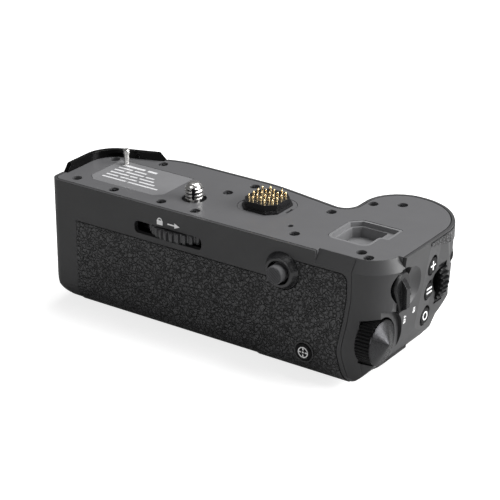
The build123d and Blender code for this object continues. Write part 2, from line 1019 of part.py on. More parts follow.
def end_band_zone(grow):
    """Space of the strip of leather under the top edge of the end."""
    start = band_start_y - grow
    points = [
        (start, -band_top_depth + grow),
        (grip_front + far_overrun, -band_top_depth + grow),
        (grip_front + far_overrun, -band_low_depth - grow),
        (band_low_y, -band_low_depth - grow),
        (start, -band_top_depth - overrun - grow),
    ]
    face = make_face(Polyline(*points, close=True))
    return prism_x(face, seam_x + front_panel_margin - grow, screw_to_right + far_overrun)


def pad_zone(grow):
    """Plan of the rubber pad with the tongue that climbs the rounded end."""
    left = -pad_left_share * screw_to_left - grow
    main = [
        (left, -pad_rear - grow),
        (pad_right + grow, -pad_rear - grow),
        (pad_right + grow, pad_front + grow),
        (left, pad_front + grow),
    ]
    tongue = [
        (0, -pad_tongue_rear - grow),
        (pad_tongue_right + grow, -pad_tongue_rear - grow),
        (pad_tongue_right + grow, pad_tongue_front + grow),
        (0, pad_tongue_front + grow),
    ]
    radii = [pad_corner_radius] * 4
    face = outline(main, radii) + outline(tongue, radii)
    return prism_z(face, -body_height - far_overrun, depth(0.5))


def base_pad():
    """Rubber pad that the grip rests on."""
    pad = skin(pad_zone(0), -pad_proud, pad_recess)
    x, y = place(socket_shares)
    return pad - rod_z(x, y, -body_height - far_overrun, 0, socket_flange_radius + leather_gap)


def leather_zones(grow):
    """Spaces of all the coverings that lie in recesses of the casing."""
    return [rear_panel_zone(grow), front_panel_zone(grow), grip_panel_zone(grow), end_band_zone(grow)]


def casing():
    """Both casing parts in one piece, with the recesses for leather, pad, plate and lip."""
    body = body_volume(0)
    for zone in leather_zones(leather_gap):
        body -= skin(zone, -overrun, leather_recess)
    body -= skin(pad_zone(leather_gap), -overrun, pad_recess)
    body -= corner_wedge()
    body -= plate_recess()
    return body - lip_band(
        -overrun, lip_inset + lip_thickness + fit_gap, -lip_root - hair_gap, overrun, fit_gap
    )


def wheel_window():
    """Slot in the rear wall that shows the lock wheel."""
    left = -window_left_share * screw_to_left
    right = along_x(window_right_share)
    top = -wheel_top_depth + window_margin
    low = -wheel_top_depth - wheel_thickness - window_margin
    points = [(left, low), (right, low), (right, top), (left, top)]
    face = outline(points, [window_corner_radius] * 4)
    return prism_y(face, rear_y - overrun, bay_rear + ledge_width + overrun)


def cover_zone(gap):
    """End of the casing that comes away with the battery tray."""
    left = -screw_to_left - far_overrun
    low = -body_height - overrun
    return block(left, opening_edge_x - gap, bay_rear + gap, bay_front - gap, low, bay_ceiling - gap)


def main_shell(body):
    """Tub that holds everything left of the seam."""
    shell = body - cap_side(-seam_gap / 2)
    shell -= inside_volume()
    ledge = body_volume(wall - hair_gap, frame_low) - body_volume(wall + ledge_width, overrun)
    ledge &= block(-screw_to_left, corner_start_x, rear_y, grip_front, frame_low - ledge_height, frame_low)
    shell += ledge
    core = body_volume(wall / 2)
    low = frame_low - deep_screw_length
    half = wall / 2
    for x, y in shell_deep_places():
        web_y = rear_y if y < 0 else grip_front
        web = block(x - half, x + half, y, web_y, low, frame_low)
        shell += (rod_z(x, y, low, frame_low, boss_radius) + web) & core
        shell -= rod_z(x, y, low - overrun, 0, screw_shaft_radius + hair_gap)
        shell -= rod_z(x, y, frame_low, overrun, screw_head_radius + screw_bore_gap)
    x, y = place(socket_shares)
    floor = -body_height + wall / 2
    shell += rod_z(x, y, floor, floor + socket_boss_height, socket_boss_radius)
    shell -= rod_z(
        x, y, -body_height - overrun, floor + socket_boss_height + overrun, socket_radius + hair_gap
    )
    flange_top = -body_height - pad_proud + socket_sink + socket_flange_thickness
    shell -= rod_z(x, y, -body_height - overrun, flange_top, socket_flange_radius + hair_gap)
    shell -= wheel_window()
    stick_x, stick_z = along_x(joystick_share), joystick_z
    shell -= rod_y(
        stick_x, stick_z, rear_y - overrun, bay_rear + ledge_width + overrun, joystick_neck_radius + hair_gap
    )
    shell -= stick_pocket()
    af_x, af_z = along_x(af_share), depth(af_depth_share)
    shell -= rod_y(af_x, af_z, rear_y - far_overrun, bay_rear + overrun, af_ring_radius + hair_gap)
    shell -= cover_zone(0)
    return shell - keeper_slot()


def stick_pocket():
    """Room in the shell's ledge for the joystick's housing."""
    x, z = along_x(joystick_share), joystick_z
    half = joystick_base_size / 2 + fit_gap
    return block(x - half, x + half, bay_rear - hair_gap, 0, z - half, z + half)


def keeper_slot():
    """Slot behind the rear wall that the key's arm turns into."""
    y = -key_y_share * screw_to_rear
    z = depth(key_depth_share)
    half = key_arm_width / 2 + moving_gap
    left = cover_inner_x - moving_gap
    right = cover_inner_x + key_gap + moving_gap
    top = z + keeper_entry_share * key_arm_reach
    return block(left, right, bay_rear - keeper_depth, bay_rear + overrun, z - half, top)


def lever_place():
    """Y and Z of the power lever's axis."""
    return -lever_y_share * screw_to_rear, depth(lever_depth_share)


def lever_floor():
    """X of the floor that the lever turns over."""
    return end_x(lever_place()[1]) - lever_recess_depth


def lever_face(grow):
    """Teardrop of the lever, pointing down at the off position."""
    y, z = lever_place()
    hub = Pos(y, z) * Circle(lever_hub_radius + grow)
    tip = Pos(y, z - lever_tip_reach) * Circle(lever_tip_radius + grow)
    return make_hull(hub.edges() + tip.edges())


def lever_recess():
    """Hollow under the lever and the finger bowl on its front side."""
    y, z = lever_place()
    floor = lever_floor()
    far = screw_to_right + far_overrun
    hollow = rod_x(y, z, floor, far, lever_recess_radius)
    heel = lever_sweep_heel
    sweep = [
        (y - heel - overrun, z),
        (y - heel, z - lever_sweep_reach),
        (y + lever_sweep_side, z - lever_sweep_side),
        (y + lever_sweep_side / 2, z),
    ]
    sector = prism_x(make_face(Polyline(*sweep, close=True)), floor, far)
    hollow += sector & rod_x(y, z, floor, far, lever_sweep_reach)
    bowl_x = floor + hair_gap + lever_bowl_radius
    bowl = Pos(bowl_x, y + lever_bowl_offset, z - lever_bowl_drop) * Sphere(lever_bowl_radius)
    return hollow + bowl


def button_field():
    """What is taken off in front of the crease and below the leather band."""
    normal = (1, crease_turn_share, -end_lean / body_height - crease_slant * crease_turn_share)
    origin = (screw_to_right, crease_y, 0)
    outside = Plane(origin=origin, x_dir=(0, 1, 0), z_dir=normal)
    size = screw_to_right + screw_to_left
    past_plane = outside * (Pos(0, 0, size / 2) * Box(size, size, size))
    low = -body_height - overrun
    near = crease_y - crease_slant * body_height - far_overrun
    points = [
        (near, -band_top_depth - overrun - band_foot_gap),
        (band_start_y, -band_top_depth - overrun - band_foot_gap),
        (band_low_y, -band_low_depth - band_foot_gap),
        (grip_front + far_overrun, -band_low_depth - band_foot_gap),
        (grip_front + far_overrun, low),
        (near, low),
    ]
    face = make_face(Polyline(*points, close=True))
    zone = prism_x(face, seam_x + front_panel_margin - leather_gap, screw_to_right + far_overrun)
    return (zone & past_plane) - body_volume(button_field_depth)


def rear_dial_place():
    """Y and Z of the rear dial's axis."""
    return -rear_dial_y_share * screw_to_rear, depth(rear_dial_depth_share)


def rear_dial_end():
    """X where the rear dial's ribs end."""
    return seam_x + rear_dial_start + rear_dial_width


def front_dial_place():
    """X and Z of the front dial's axis, and the rear side of the dial."""
    z = depth(front_dial_depth_share)
    x = end_x(z) + front_dial_proud - front_dial_radius
    return x, z, front_dial_y_share * grip_front


def shutter_plane(out):
    """Plane of the shutter button, a given way out from the grip's round corner."""
    angle = math.radians(shutter_angle)
    centre_x = screw_to_right - grip_radius
    centre_y = grip_front - grip_radius
    reach = grip_radius - button_field_depth + out
    origin = (
        centre_x + reach * math.cos(angle), centre_y + reach * math.sin(angle), depth(shutter_depth_share)
    )
    return Plane(origin=origin, x_dir=(0, 0, 1), z_dir=(math.cos(angle), math.sin(angle), 0))


def shutter_rod(start, end, radius):
    """Round bar along the shutter button's axis."""
    return shutter_plane(start) * (Pos(0, 0, (end - start) / 2) * Cylinder(radius, end - start))


def board_screw_places():
    """Y and Z of the screws that hold the control board."""
    return [place_on_end(shares) for shares in board_screw_shares]


def end_cap(body):
    """Cap with the hollows for all the controls of the end."""
    cap = body & cap_side(seam_gap / 2)
    cap -= button_field()
    inside = inside_volume()
    core = body_volume(wall / 2)
    cavity = block(seam_waist_x - overrun, cavity_x, rear_y, grip_front, -body_height, casing_top)
    cap -= inside & cavity
    dial_y, dial_z = rear_dial_place()
    housing = rear_dial_pocket_radius + rear_dial_housing_wall
    cap += rod_x(dial_y, dial_z, seam_x + seam_gap, cavity_x + overrun, housing) & core
    for y, z in board_screw_places():
        cap += rod_x(y, z, control_board_x + board_thickness, cavity_x + overrun, cap_boss_radius) & core
    dial_x, front_z, near = front_dial_place()
    room = near - moving_gap
    far_room = near + front_dial_width + moving_gap
    half = front_bearing_height / 2
    for y0, y1 in ((room - front_bearing_width, room), (far_room, far_room + front_bearing_width)):
        cap += block(dial_x - front_bearing_back, cavity_x + overrun, y0, y1, front_z - half, front_z + half)
    screw_x, screw_y = place(cap_screw_shares)
    boss_low = frame_low - ledge_height
    cap += rod_z(screw_x, screw_y, boss_low, -plate_thickness, boss_radius) & core
    tab_x, tab_y = place(cap_deep_screw_shares)
    half_tab = cap_tab_width / 2
    tab_low = frame_low - cap_tab_thickness
    cap += block(
        tab_x - half_tab, cavity_x + overrun, tab_y - half_tab, tab_y + half_tab, tab_low, frame_low
    )
    cap -= rod_z(tab_x, tab_y, tab_low - overrun, frame_low + overrun, screw_shaft_radius + hair_gap)
    cap -= rod_z(tab_x, tab_y, frame_low, overrun, screw_head_radius + screw_bore_gap)
    cap -= rod_z(screw_x, screw_y, frame_low, overrun, screw_shaft_radius + hair_gap)
    cap -= lever_recess()
    lever_y, lever_z = lever_place()
    cap -= rod_x(lever_y, lever_z, seam_x, lever_floor() + overrun, lever_shaft_radius + running_gap)
    pocket_end = rear_dial_end() + fit_gap
    pocket_start = seam_x + rear_dial_start - moving_gap
    cap -= rod_x(dial_y, dial_z, pocket_start, screw_to_right + far_overrun, rear_dial_pocket_radius)
    cap -= rod_x(dial_y, dial_z, pocket_end, screw_to_right + far_overrun, rear_dial_scoop_radius)
    cap -= rod_x(dial_y, dial_z, seam_waist_x, pocket_start + overrun, rear_axle_radius + hair_gap)
    slot = front_dial_radius + moving_gap
    cap -= rod_y(dial_x, front_z, room, far_room, slot)
    axle_bore = rod_y(dial_x, front_z, near - far_overrun, far_room + far_overrun, front_axle_radius + hair_gap)
    cap -= axle_bore & block(0, cavity_x + overrun, 0, grip_front - wall, -body_height, 0)
    scoop_x = end_x(front_z) - button_field_depth + dial_scoop_offset
    cap -= Pos(scoop_x, near, front_z) * Sphere(dial_scoop_radius)
    button_y = along_y(function_button_y_share)
    for share in function_button_depth_shares:
        z = depth(share)
        surface = field_x(button_y, z)
        cap -= rod_x(
            button_y, z, surface - function_recess_depth, surface + far_overrun, function_recess_radius
        )
        cap -= rod_x(button_y, z, seam_x, surface, function_stem_radius + function_stem_gap)
    cap -= shutter_rod(-shutter_ring_depth, far_overrun, shutter_ring_radius + hair_gap)
    cap -= shutter_rod(-shutter_ring_depth - far_overrun, 0, shutter_stem_radius + moving_gap)
    for y, z in board_screw_places():
        start = control_board_x + board_thickness - overrun
        cap -= rod_x(y, z, start, start + tray_screw_length, screw_shaft_radius + hair_gap)
    return cap


def cross_screws(places, head_top, length):
    """A group of identical screws with a cross cut in each head."""
    screws = []
    for x, y in places:
        head_low = head_top - screw_head_height
        screw = rod_z(x, y, head_low, head_top, screw_head_radius)
        half_reach = screw_slot_reach / 2
        half_width = screw_slot_width / 2
        low = head_top - screw_slot_depth
        high = head_top + overrun
        screw -= block(x - half_reach, x + half_reach, y - half_width, y + half_width, low, high)
        screw -= block(x - half_width, x + half_width, y - half_reach, y + half_reach, low, high)
        screws.append(screw + rod_z(x, y, head_low - length, head_low, screw_shaft_radius))
    return screws


def tripod_screw():
    """Camera screw with a few turns of thread, slots along it and the spindle below."""
    top = thread_start + thread_turns * thread_pitch
    bracket_low = -(wheel_top_depth + wheel_thickness + bracket_gap + bracket_thickness)
    low = bracket_low - clip_gap - clip_thickness - clip_gap
    screw = rod_z(0, 0, low, thread_start + hair_gap, spindle_radius)
    screw += rod_z(0, 0, thread_start, top, thread_minor_radius)
    rise = (thread_pitch - thread_crest) / 2
    for turn in range(thread_turns):
        start = thread_start + turn * thread_pitch
        middle = start + rise
        screw += rod_z(0, 0, start, middle, thread_minor_radius, thread_major_radius)
        screw += rod_z(0, 0, middle, middle + thread_crest, thread_major_radius)
        screw += rod_z(
            0, 0, middle + thread_crest, start + thread_pitch, thread_major_radius, thread_minor_radius
        )
    nose = rod_z(0, 0, top, top + screw_nose, thread_minor_radius)
    screw += fillet(nose.edges().sort_by(Axis.Z)[-1], screw_nose_round_share * screw_nose)
    half = screw_slot_cut_width / 2
    reach = thread_major_radius + overrun
    for k in range(screw_slot_count):
        slot = block(
            thread_minor_radius - hair_gap, reach, -half, half, thread_start - overrun, top + overrun
        )
        screw -= Rot(0, 0, 45 + 360 * k / screw_slot_count) * slot
    return screw


def lock_wheel():
    """Ribbed wheel whose edge stands out of the rear window."""
    radius = screw_to_rear + wheel_proud
    low = -wheel_top_depth - wheel_thickness
    wheel = prism_z(
        toothed_disc(radius, wheel_rib_depth, wheel_rib_count, tooth_share), low, -wheel_top_depth
    )
    wheel += rod_z(0, 0, low - wheel_hub_drop / 2, -wheel_top_depth, wheel_hub_radius)
    return wheel - rod_z(0, 0, low - overrun - wheel_hub_drop, 0, spindle_radius)


def screw_collar():
    """Bush in the plate that the screw's spindle turns in."""
    flange_top = frame_low
    collar = rod_z(0, 0, flange_top - collar_flange_thickness, -collar_sink, collar_radius)
    collar += rod_z(0, 0, flange_top - collar_flange_thickness, flange_top, collar_radius + collar_flange)
    return collar - rod_z(
        0, 0, flange_top - overrun - collar_flange_thickness, 0, spindle_radius + running_gap
    )


def wheel_bracket():
    """Bent strap that carries the lower end of the spindle."""
    top = -(wheel_top_depth + wheel_thickness + bracket_gap)
    low = top - bracket_thickness
    reach = screw_to_rear + wheel_proud + bracket_overlap
    half = bracket_width / 2
    strap = block(-reach, reach, -half, half, low, top)
    for side in (-1, 1):
        inner = side * (reach - bracket_thickness)
        strap += block(inner, side * reach, -half, half, low, frame_low)
    return strap - rod_z(0, 0, low - overrun, top + overrun, spindle_radius + running_gap)


def screw_clip():
    """Clip on the spindle below its bracket."""
    top = -(wheel_top_depth + wheel_thickness + bracket_gap + bracket_thickness + clip_gap)
    return rod_z(0, 0, top - clip_thickness, top, clip_radius) - rod_z(
        0, 0, top - overrun, top, spindle_radius
    )


def locating_pin():
    """Steel pin with a thicker head that finds the camera's hole."""
    x, y = place(pin_shares)
    head_low = pin_height - pin_head_height
    pin = rod_z(x, y, frame_top, head_low, pin_radius)
    head = rod_z(x, y, head_low, pin_height, pin_head_radius)
    return pin + chamfer(head.edges().sort_by(Axis.Z)[-1], pin_tip_chamfer)


def contact_places():
    """Places of the spring pins: columns of four and of five by turns."""
    x_middle, y_middle = place(connector_shares)
    places = []
    for column in range(contact_columns):
        x = x_middle + (column - (contact_columns - 1) / 2) * contact_pitch_x
        for row in range((column + 1) % 2, contact_rows, 2):
            places.append((x, y_middle + (row - (contact_rows - 1) / 2) * contact_pitch_y))
    return places


def connector_block():
    """Black block with a bore for each spring pin."""
    body = chamfered_block(
        connector_base_x, connector_base_y, connector_chamfer, -connector_depth, connector_base_height
    )
    body += chamfered_block(connector_top_x, connector_top_y, connector_chamfer, 0, connector_height)
    for x, y in contact_places():
        body -= rod_z(
            x, y, -connector_depth - overrun, connector_height + overrun, contact_radius + running_gap
        )
    return body


def connector_pins():
    """Gold spring pins with tapered points."""
    pins = []
    shoulder = contact_tip_height - contact_point_height
    for x, y in contact_places():
        pin = rod_z(x, y, -contact_tail_depth, shoulder, contact_radius)
        pins.append(pin + rod_z(x, y, shoulder, contact_tip_height, contact_radius, contact_point_radius))
    return pins


def connector_frame():
    """Insert that fills the plate's opening round the contact block."""
    frame = prism_z(connector_face(0), -plate_thickness, -pocket_flush_gap / 2)
    low = -plate_thickness - overrun
    frame -= chamfered_block(connector_base_x, connector_base_y, connector_chamfer, low, overrun, hair_gap)
    x, y = place(connector_shares)
    half = connector_notch / 2
    for side in (-1, 1):
        edge = x + side * connector_opening_x / 2
        frame -= block(edge - half, edge + half, y - connector_notch, y + connector_notch, low, overrun)
    return frame


def cover_pocket():
    """Tray with a rim, a ledge and a deeper well."""
    ledge_floor = -pocket_ledge_depth - pocket_flush_gap
    flange_low = ledge_floor - pocket_wall
    tray = prism_z(pocket_face(0), flange_low, -pocket_flush_gap)
    well_inset = pocket_flange + pocket_ledge_width
    tray += prism_z(
        pocket_face(well_inset - pocket_wall, tab=False), -pocket_depth - pocket_wall, flange_low
    )
    tray -= prism_z(pocket_face(pocket_flange), ledge_floor, overrun)
    return tray - prism_z(pocket_face(well_inset, tab=False), -pocket_depth, overrun)


def joystick_collar():
    """Flared ring round the joystick."""
    x, z = along_x(joystick_share), joystick_z
    front = rear_y - joystick_collar_height
    collar = rod_y(x, z, front, rear_y, joystick_collar_base_radius, joystick_collar_front_radius)
    rim = collar.edges().filter_by(GeomType.CIRCLE).sort_by(Axis.Y)[0]
    collar = fillet(rim, joystick_skirt_height / 2)
    collar += rod_y(x, z, rear_y, bay_rear + hair_gap, joystick_neck_radius)
    return collar - rod_y(x, z, front - overrun, bay_rear + overrun, joystick_bore_radius)


def joystick_base():
    """Switch housing behind the wall with bearings for the tilting ring."""
    x, z = along_x(joystick_share), joystick_z
    half = joystick_base_size / 2
    front = bay_rear + fit_gap
    base = block(x - half, x + half, front, front + joystick_base_depth, z - half, z + half)
    base -= rod_y(x, z, front - overrun, front + joystick_cavity_depth, joystick_cavity_radius)
    pivot = rear_y + joystick_pivot_depth
    bearing = trunnion_radius + running_gap
    return base - rod_x(pivot, z, x - half - overrun, x + half + overrun, bearing)


def joystick_gimbal():
    """Ring that tilts up and down on two trunnions."""
    x, z = along_x(joystick_share), joystick_z
    pivot = rear_y + joystick_pivot_depth
    half = gimbal_thickness / 2
    ring = rod_y(x, z, pivot - half, pivot + half, gimbal_radius)
    ring += rod_x(pivot, z, x - trunnion_reach, x + trunnion_reach, trunnion_radius)
    ring -= rod_y(x, z, pivot - overrun, pivot + overrun, gimbal_hole_radius)
    reach = gimbal_radius + overrun
    return ring - rod_z(x, pivot, z - reach, z + reach, trunnion_radius + running_gap)


def joystick_stem():
    """Stem that tilts sideways in the ring."""
    x, z = along_x(joystick_share), joystick_z
    pivot = rear_y + joystick_pivot_depth
    stem = rod_y(x, z, rear_y - joystick_stem_front, pivot + gimbal_thickness / 2, joystick_stem_radius)
    return stem + rod_z(x, pivot, z - crossbar_reach, z + crossbar_reach, trunnion_radius)


def joystick_knob():
    """Knob with a flared skirt that slides on the stem when pressed."""
    x, z = along_x(joystick_share), joystick_z
    front = rear_y - joystick_knob_front
    back = rear_y + joystick_knob_back
    knob = rod_y(x, z, front, back, joystick_knob_radius)
    knob = chamfer(knob.edges().filter_by(GeomType.CIRCLE).sort_by(Axis.Y)[0], joystick_knob_edge)
    skirt_top = rear_y - joystick_skirt_height
    knob += rod_y(x, z, skirt_top, rear_y, joystick_skirt_radius, joystick_knob_radius)
    bore_end = rear_y - joystick_stem_front - joystick_press_room
    return knob - rod_y(x, z, bore_end, back + overrun, joystick_stem_radius + running_gap)


def af_front():
    """Y of the thumb rest's highest point, where the lock button sits."""
    return rear_y - thumb_rest_height


def af_lock_ring():
    """Ring in the leather round the lock button."""
    x, z = along_x(af_share), depth(af_depth_share)
    front = af_front() - af_ring_proud
    ring = rod_y(x, z, front, bay_rear, af_ring_radius)
    return ring - rod_y(x, z, front - overrun, bay_rear + overrun, af_ring_radius - af_ring_wall)


def af_lock_button():
    """Round button with a stem towards its switch."""
    x, z = along_x(af_share), depth(af_depth_share)
    front = af_front() - af_button_proud
    back = front + af_button_thickness
    radius = af_ring_radius - af_ring_wall - running_gap
    button = rod_y(x, z, front, back, radius)
    button = chamfer(button.edges().filter_by(GeomType.CIRCLE).sort_by(Axis.Y)[0], af_edge)
    return button + rod_y(x, z, back, back + af_stem_length, af_stem_radius)


def rear_switch_front():
    """Y of the rear switch's face, clear of the pressed button."""
    return af_front() - af_button_proud + af_button_thickness + af_stem_length + af_travel_room


def rear_switch():
    """Tact switch behind the lock button."""
    x, z = along_x(af_share), depth(af_depth_share)
    front = rear_switch_front()
    half = tact_size / 2
    switch = block(x - half, x + half, front + tact_height / 2, front + tact_height, z - half, z + half)
    return switch + rod_y(x, z, front, front + tact_height / 2, af_stem_radius)


def rear_board():
    """Small board that carries the rear switch, standing on the shell's floor."""
    x, z = along_x(af_share), depth(af_depth_share)
    start = rear_switch_front() + tact_height
    half = rear_board_width / 2
    low = bay_floor + rear_board_lift
    return block(x - half, x + half, start, start + board_thickness, low, low + rear_board_height)


def power_lever():
    """Teardrop lever with a finger fin, on a shaft through the cap."""
    y, z = lever_place()
    start = lever_floor() + moving_gap
    top = start + lever_thickness
    lever = prism_x(lever_face(0), start, top)
    lever = chamfer(lever.faces().sort_by(Axis.X)[-1].edges(), lever_thickness / 4)
    tip = z - lever_tip_reach
    half = lever_fin_width / 2
    fin_top = z + lever_hub_radius / 2
    points = [
        (top - hair_gap, fin_top),
        (top + lever_fin_height, fin_top - lever_fin_slope),
        (top + lever_fin_height, tip + lever_tip_radius),
        (top - hair_gap, tip),
    ]
    lever += prism_y(make_face(Polyline(*points, close=True)), y - half, y + half)
    return lever + rod_x(y, z, start - lever_shaft_length, start, lever_shaft_radius)


def power_switch():
    """Rotary switch that the lever's shaft turns."""
    y, z = lever_place()
    half = power_switch_size / 2
    start = control_board_x + board_thickness
    switch = block(start, start + power_switch_depth, y - half, y + half, z - half, z + half)
    return switch - rod_x(y, z, start + overrun, cavity_x, lever_shaft_radius + running_gap)


def function_button(share):
    """One round button and its stem."""
    y, z = along_y(function_button_y_share), depth(share)
    face = field_x(y, z) + function_button_proud
    back = face - function_button_thickness
    button = rod_x(y, z, back, face, function_button_radius)
    button = chamfer(button.edges().filter_by(GeomType.CIRCLE).sort_by(Axis.X)[-1], function_button_edge)
    stem_end = control_board_x + board_thickness + dome_height + button_travel + function_stem_gap
    return button + rod_x(y, z, stem_end, back, function_stem_radius)


def dome_switches():
    """Switch under each function button."""
    y = along_y(function_button_y_share)
    start = control_board_x + board_thickness
    return [
        rod_x(y, depth(s), start, start + dome_height, dome_radius) for s in function_button_depth_shares
    ]


def control_board():
    """Board behind the controls of the end."""
    dial_y, dial_z = rear_dial_place()
    housing = rear_dial_pocket_radius + rear_dial_housing_wall + fit_gap
    top = frame_low - fit_gap
    front = front_dial_place()[2] - moving_gap - front_bearing_width - encoder_thickness - moving_gap
    low = depth(board_low_share)
    board = block(control_board_x, control_board_x + board_thickness, bay_rear + overrun, front, low, top)
    board -= rod_x(dial_y, dial_z, seam_x, cavity_x, housing)
    for share in (0, 1):
        edge = bay_rear + share * overrun
        board -= block(seam_x, cavity_x, edge, dial_y + housing, low - overrun, dial_z)
    tab_x, tab_y = place(cap_deep_screw_shares)
    half = cap_tab_width / 2 + fit_gap
    board -= block(
        seam_x, cavity_x, bay_rear, tab_y + half, frame_low - cap_tab_thickness - fit_gap, top + overrun
    )
    for y, z in board_screw_places():
        board -= rod_x(y, z, seam_x, cavity_x, screw_shaft_radius + hair_gap)
    return board


def board_screws():
    """Screws of the control board."""
    screws = []
    for y, z in board_screw_places():
        head = rod_x(y, z, control_board_x - screw_head_height / 2, control_board_x, screw_head_radius)
        end = control_board_x + board_thickness + tray_screw_length - overrun - fit_gap
        screws.append(head + rod_x(y, z, control_board_x, end, screw_shaft_radius))
    return screws


def front_dial():
    """Coarse-toothed wheel."""
    x, z, near = front_dial_place()
    face = toothed_disc(front_dial_radius, front_dial_tooth_depth, front_dial_teeth, tooth_share)
    dial = prism_y(Pos(x, z) * face, near, near + front_dial_width)
    return dial - rod_y(
        x, z, near - overrun, near + front_dial_width + overrun, front_axle_radius + running_gap
    )


def front_dial_axle():
    """Axle between the cap's two bearings."""
    x, z, near = front_dial_place()
    start = near - moving_gap - front_bearing_width - encoder_thickness
    end = near + front_dial_width + moving_gap + front_bearing_width
    return rod_y(x, z, start, end, front_axle_radius)


def dial_encoders():
    """Rotary encoder on each dial's axle."""
    x, z, near = front_dial_place()
    end = near - moving_gap - front_bearing_width
    front = rod_y(x, z, end - encoder_thickness, end, encoder_radius)
    front -= rod_y(x, z, end - far_overrun, end + overrun, front_axle_radius + hair_gap)
    y, dial_z = rear_dial_place()
    back = seam_x + seam_gap
    rear = rod_x(y, dial_z, back - encoder_thickness, back, encoder_radius)
    rear &= body_volume(wall + fit_gap)
    rear -= rod_x(y, dial_z, back - far_overrun, back + overrun, rear_axle_radius + hair_gap)
    return [front, rear]


def shutter_ring():
    """Ring round the shutter button, closed behind by a bridge."""
    ring = shutter_rod(-shutter_ring_depth, shutter_ring_proud, shutter_ring_radius)
    bridge = -shutter_ring_depth + shutter_bridge_thickness
    ring -= shutter_rod(bridge, far_overrun, shutter_radius + running_gap)
    return ring - shutter_rod(-shutter_ring_depth - overrun, 0, shutter_stem_radius + running_gap)


def shutter_button():
    """Shutter release with a softly rounded face."""
    button = shutter_rod(shutter_proud - shutter_thickness, shutter_proud, shutter_radius)
    front = shutter_plane(shutter_proud).origin
    rim = button.edges().filter_by(GeomType.CIRCLE).sort_by_distance(front)[0]
    button = fillet(rim, shutter_edge)
    return button + shutter_rod(
        -shutter_ring_depth - shutter_stem_out, shutter_proud - shutter_thickness, shutter_stem_radius
    )


def shutter_switch():
    """Two-stage switch behind the shutter button."""
    end = -shutter_ring_depth - shutter_stem_out - shutter_travel - moving_gap
    middle = end - shutter_switch_height / 2
    size = shutter_switch_size
    return shutter_plane(middle) * Box(size, size, shutter_switch_height)


def rear_dial():
    """Finely ribbed wheel with a cone on its outer face."""
    y, z = rear_dial_place()
    start = seam_x + rear_dial_start
    face = toothed_disc(rear_dial_radius, rear_dial_rib_depth, rear_dial_ribs, tooth_share)
    dial = prism_x(Pos(y, z) * face, start, rear_dial_end())
    disc_end = rear_dial_end() + rear_dial_disc_thickness
    dial += rod_x(y, z, rear_dial_end(), disc_end, rear_dial_radius)
    cone_end = disc_end + rear_dial_cone_height
    base = rear_dial_radius - rear_dial_rib_depth
    dial += rod_x(y, z, disc_end, cone_end, base, rear_dial_cone_tip_radius)
    return dial - rod_x(y, z, start - overrun, rear_dial_end(), rear_axle_radius + running_gap)


def rear_dial_axle():
    """Axle of the rear dial, held in the cap."""
    y, z = rear_dial_place()
    return rod_x(y, z, seam_x - rear_axle_back, rear_dial_end() - fit_gap, rear_axle_radius)


def main_board():
    """Board that joins the contact block to the controls."""
    top = frame_low - board_post_height
    board = block(
        main_board_left, main_board_right, -main_board_rear, main_board_front, top - board_thickness, top
    )
    x, z = along_x(joystick_share), joystick_z
    half = joystick_base_size / 2 + fit_gap
    back = bay_rear + fit_gap + joystick_base_depth + fit_gap
    return board - block(x - half, x + half, rear_y, back, z - half, z + half)


def ribbon_cable():
    """Flat cable from the main board to the control board."""
    top = frame_low - board_post_height - board_thickness
    low = top - ribbon_thickness
    y0 = along_y(connector_shares[1]) - ribbon_width / 2
    start = main_board_right - ribbon_start_overlap
    end = control_board_x
    ribbon = block(start, end, y0, y0 + ribbon_width, low, top)
    return ribbon + block(end - ribbon_thickness, end, y0, y0 + ribbon_width, low - ribbon_drop, top)


def battery_chamber():
    """Ceiling, end wall and front guide of the battery bay."""
    inside = body_volume(wall + hair_gap)
    left = bay_edge_x + fit_gap
    right = chamber_right + chamber_wall
    top = bay_ceiling + chamber_wall
    chamber = block(left, right, rear_y, pod_front, bay_ceiling, top)
    chamber += block(chamber_right, right, rear_y, pod_front, -body_height, top)
    guide = opening_edge_x + fit_gap
    chamber += block(guide, right, bay_front, bay_front + chamber_wall, -body_height, top)
    chamber &= inside
    y0, y1, z0, z1 = contact_window()
    return chamber - block(chamber_right - overrun, right + overrun, y0, y1, z0, z1)


def contact_window():
    """Y and Z limits of the battery contacts."""
    y_middle = (battery_rear + battery_front) / 2
    z_middle = (tray_top_face + bay_ceiling) / 2
    half_y = contact_block_width / 2
    half_z = contact_block_height / 2
    return y_middle - half_y, y_middle + half_y, z_middle - half_z, z_middle + half_z


def contact_block():
    """Block that holds the battery contacts in the bay's end wall."""
    y0, y1, z0, z1 = contact_window()
    start = chamber_right
    block_end = start + contact_block_depth
    body = block(start, block_end, y0 + hair_gap, y1 - hair_gap, z0 + hair_gap, z1 - hair_gap)
    flange_start = start + chamber_wall
    return body + block(flange_start, block_end, y0 - overrun, y1 + overrun, z0 - overrun, z1 + overrun)


def contact_blades():
    """Spring blades that touch the battery."""
    y0, y1, z0, z1 = contact_window()
    z_middle = (z0 + z1) / 2
    half = blade_height / 2
    blades = []
    for k in range(blade_count):
        y = y0 + (k + 0.5) * (y1 - y0) / blade_count
        points = [
            (chamber_right, z_middle - half),
            (chamber_right - blade_proud, z_middle),
            (chamber_right, z_middle + half),
        ]
        face = make_face(Polyline(*points, close=True))
        blades.append(prism_y(face, y - blade_width / 2, y + blade_width / 2))
    return blades


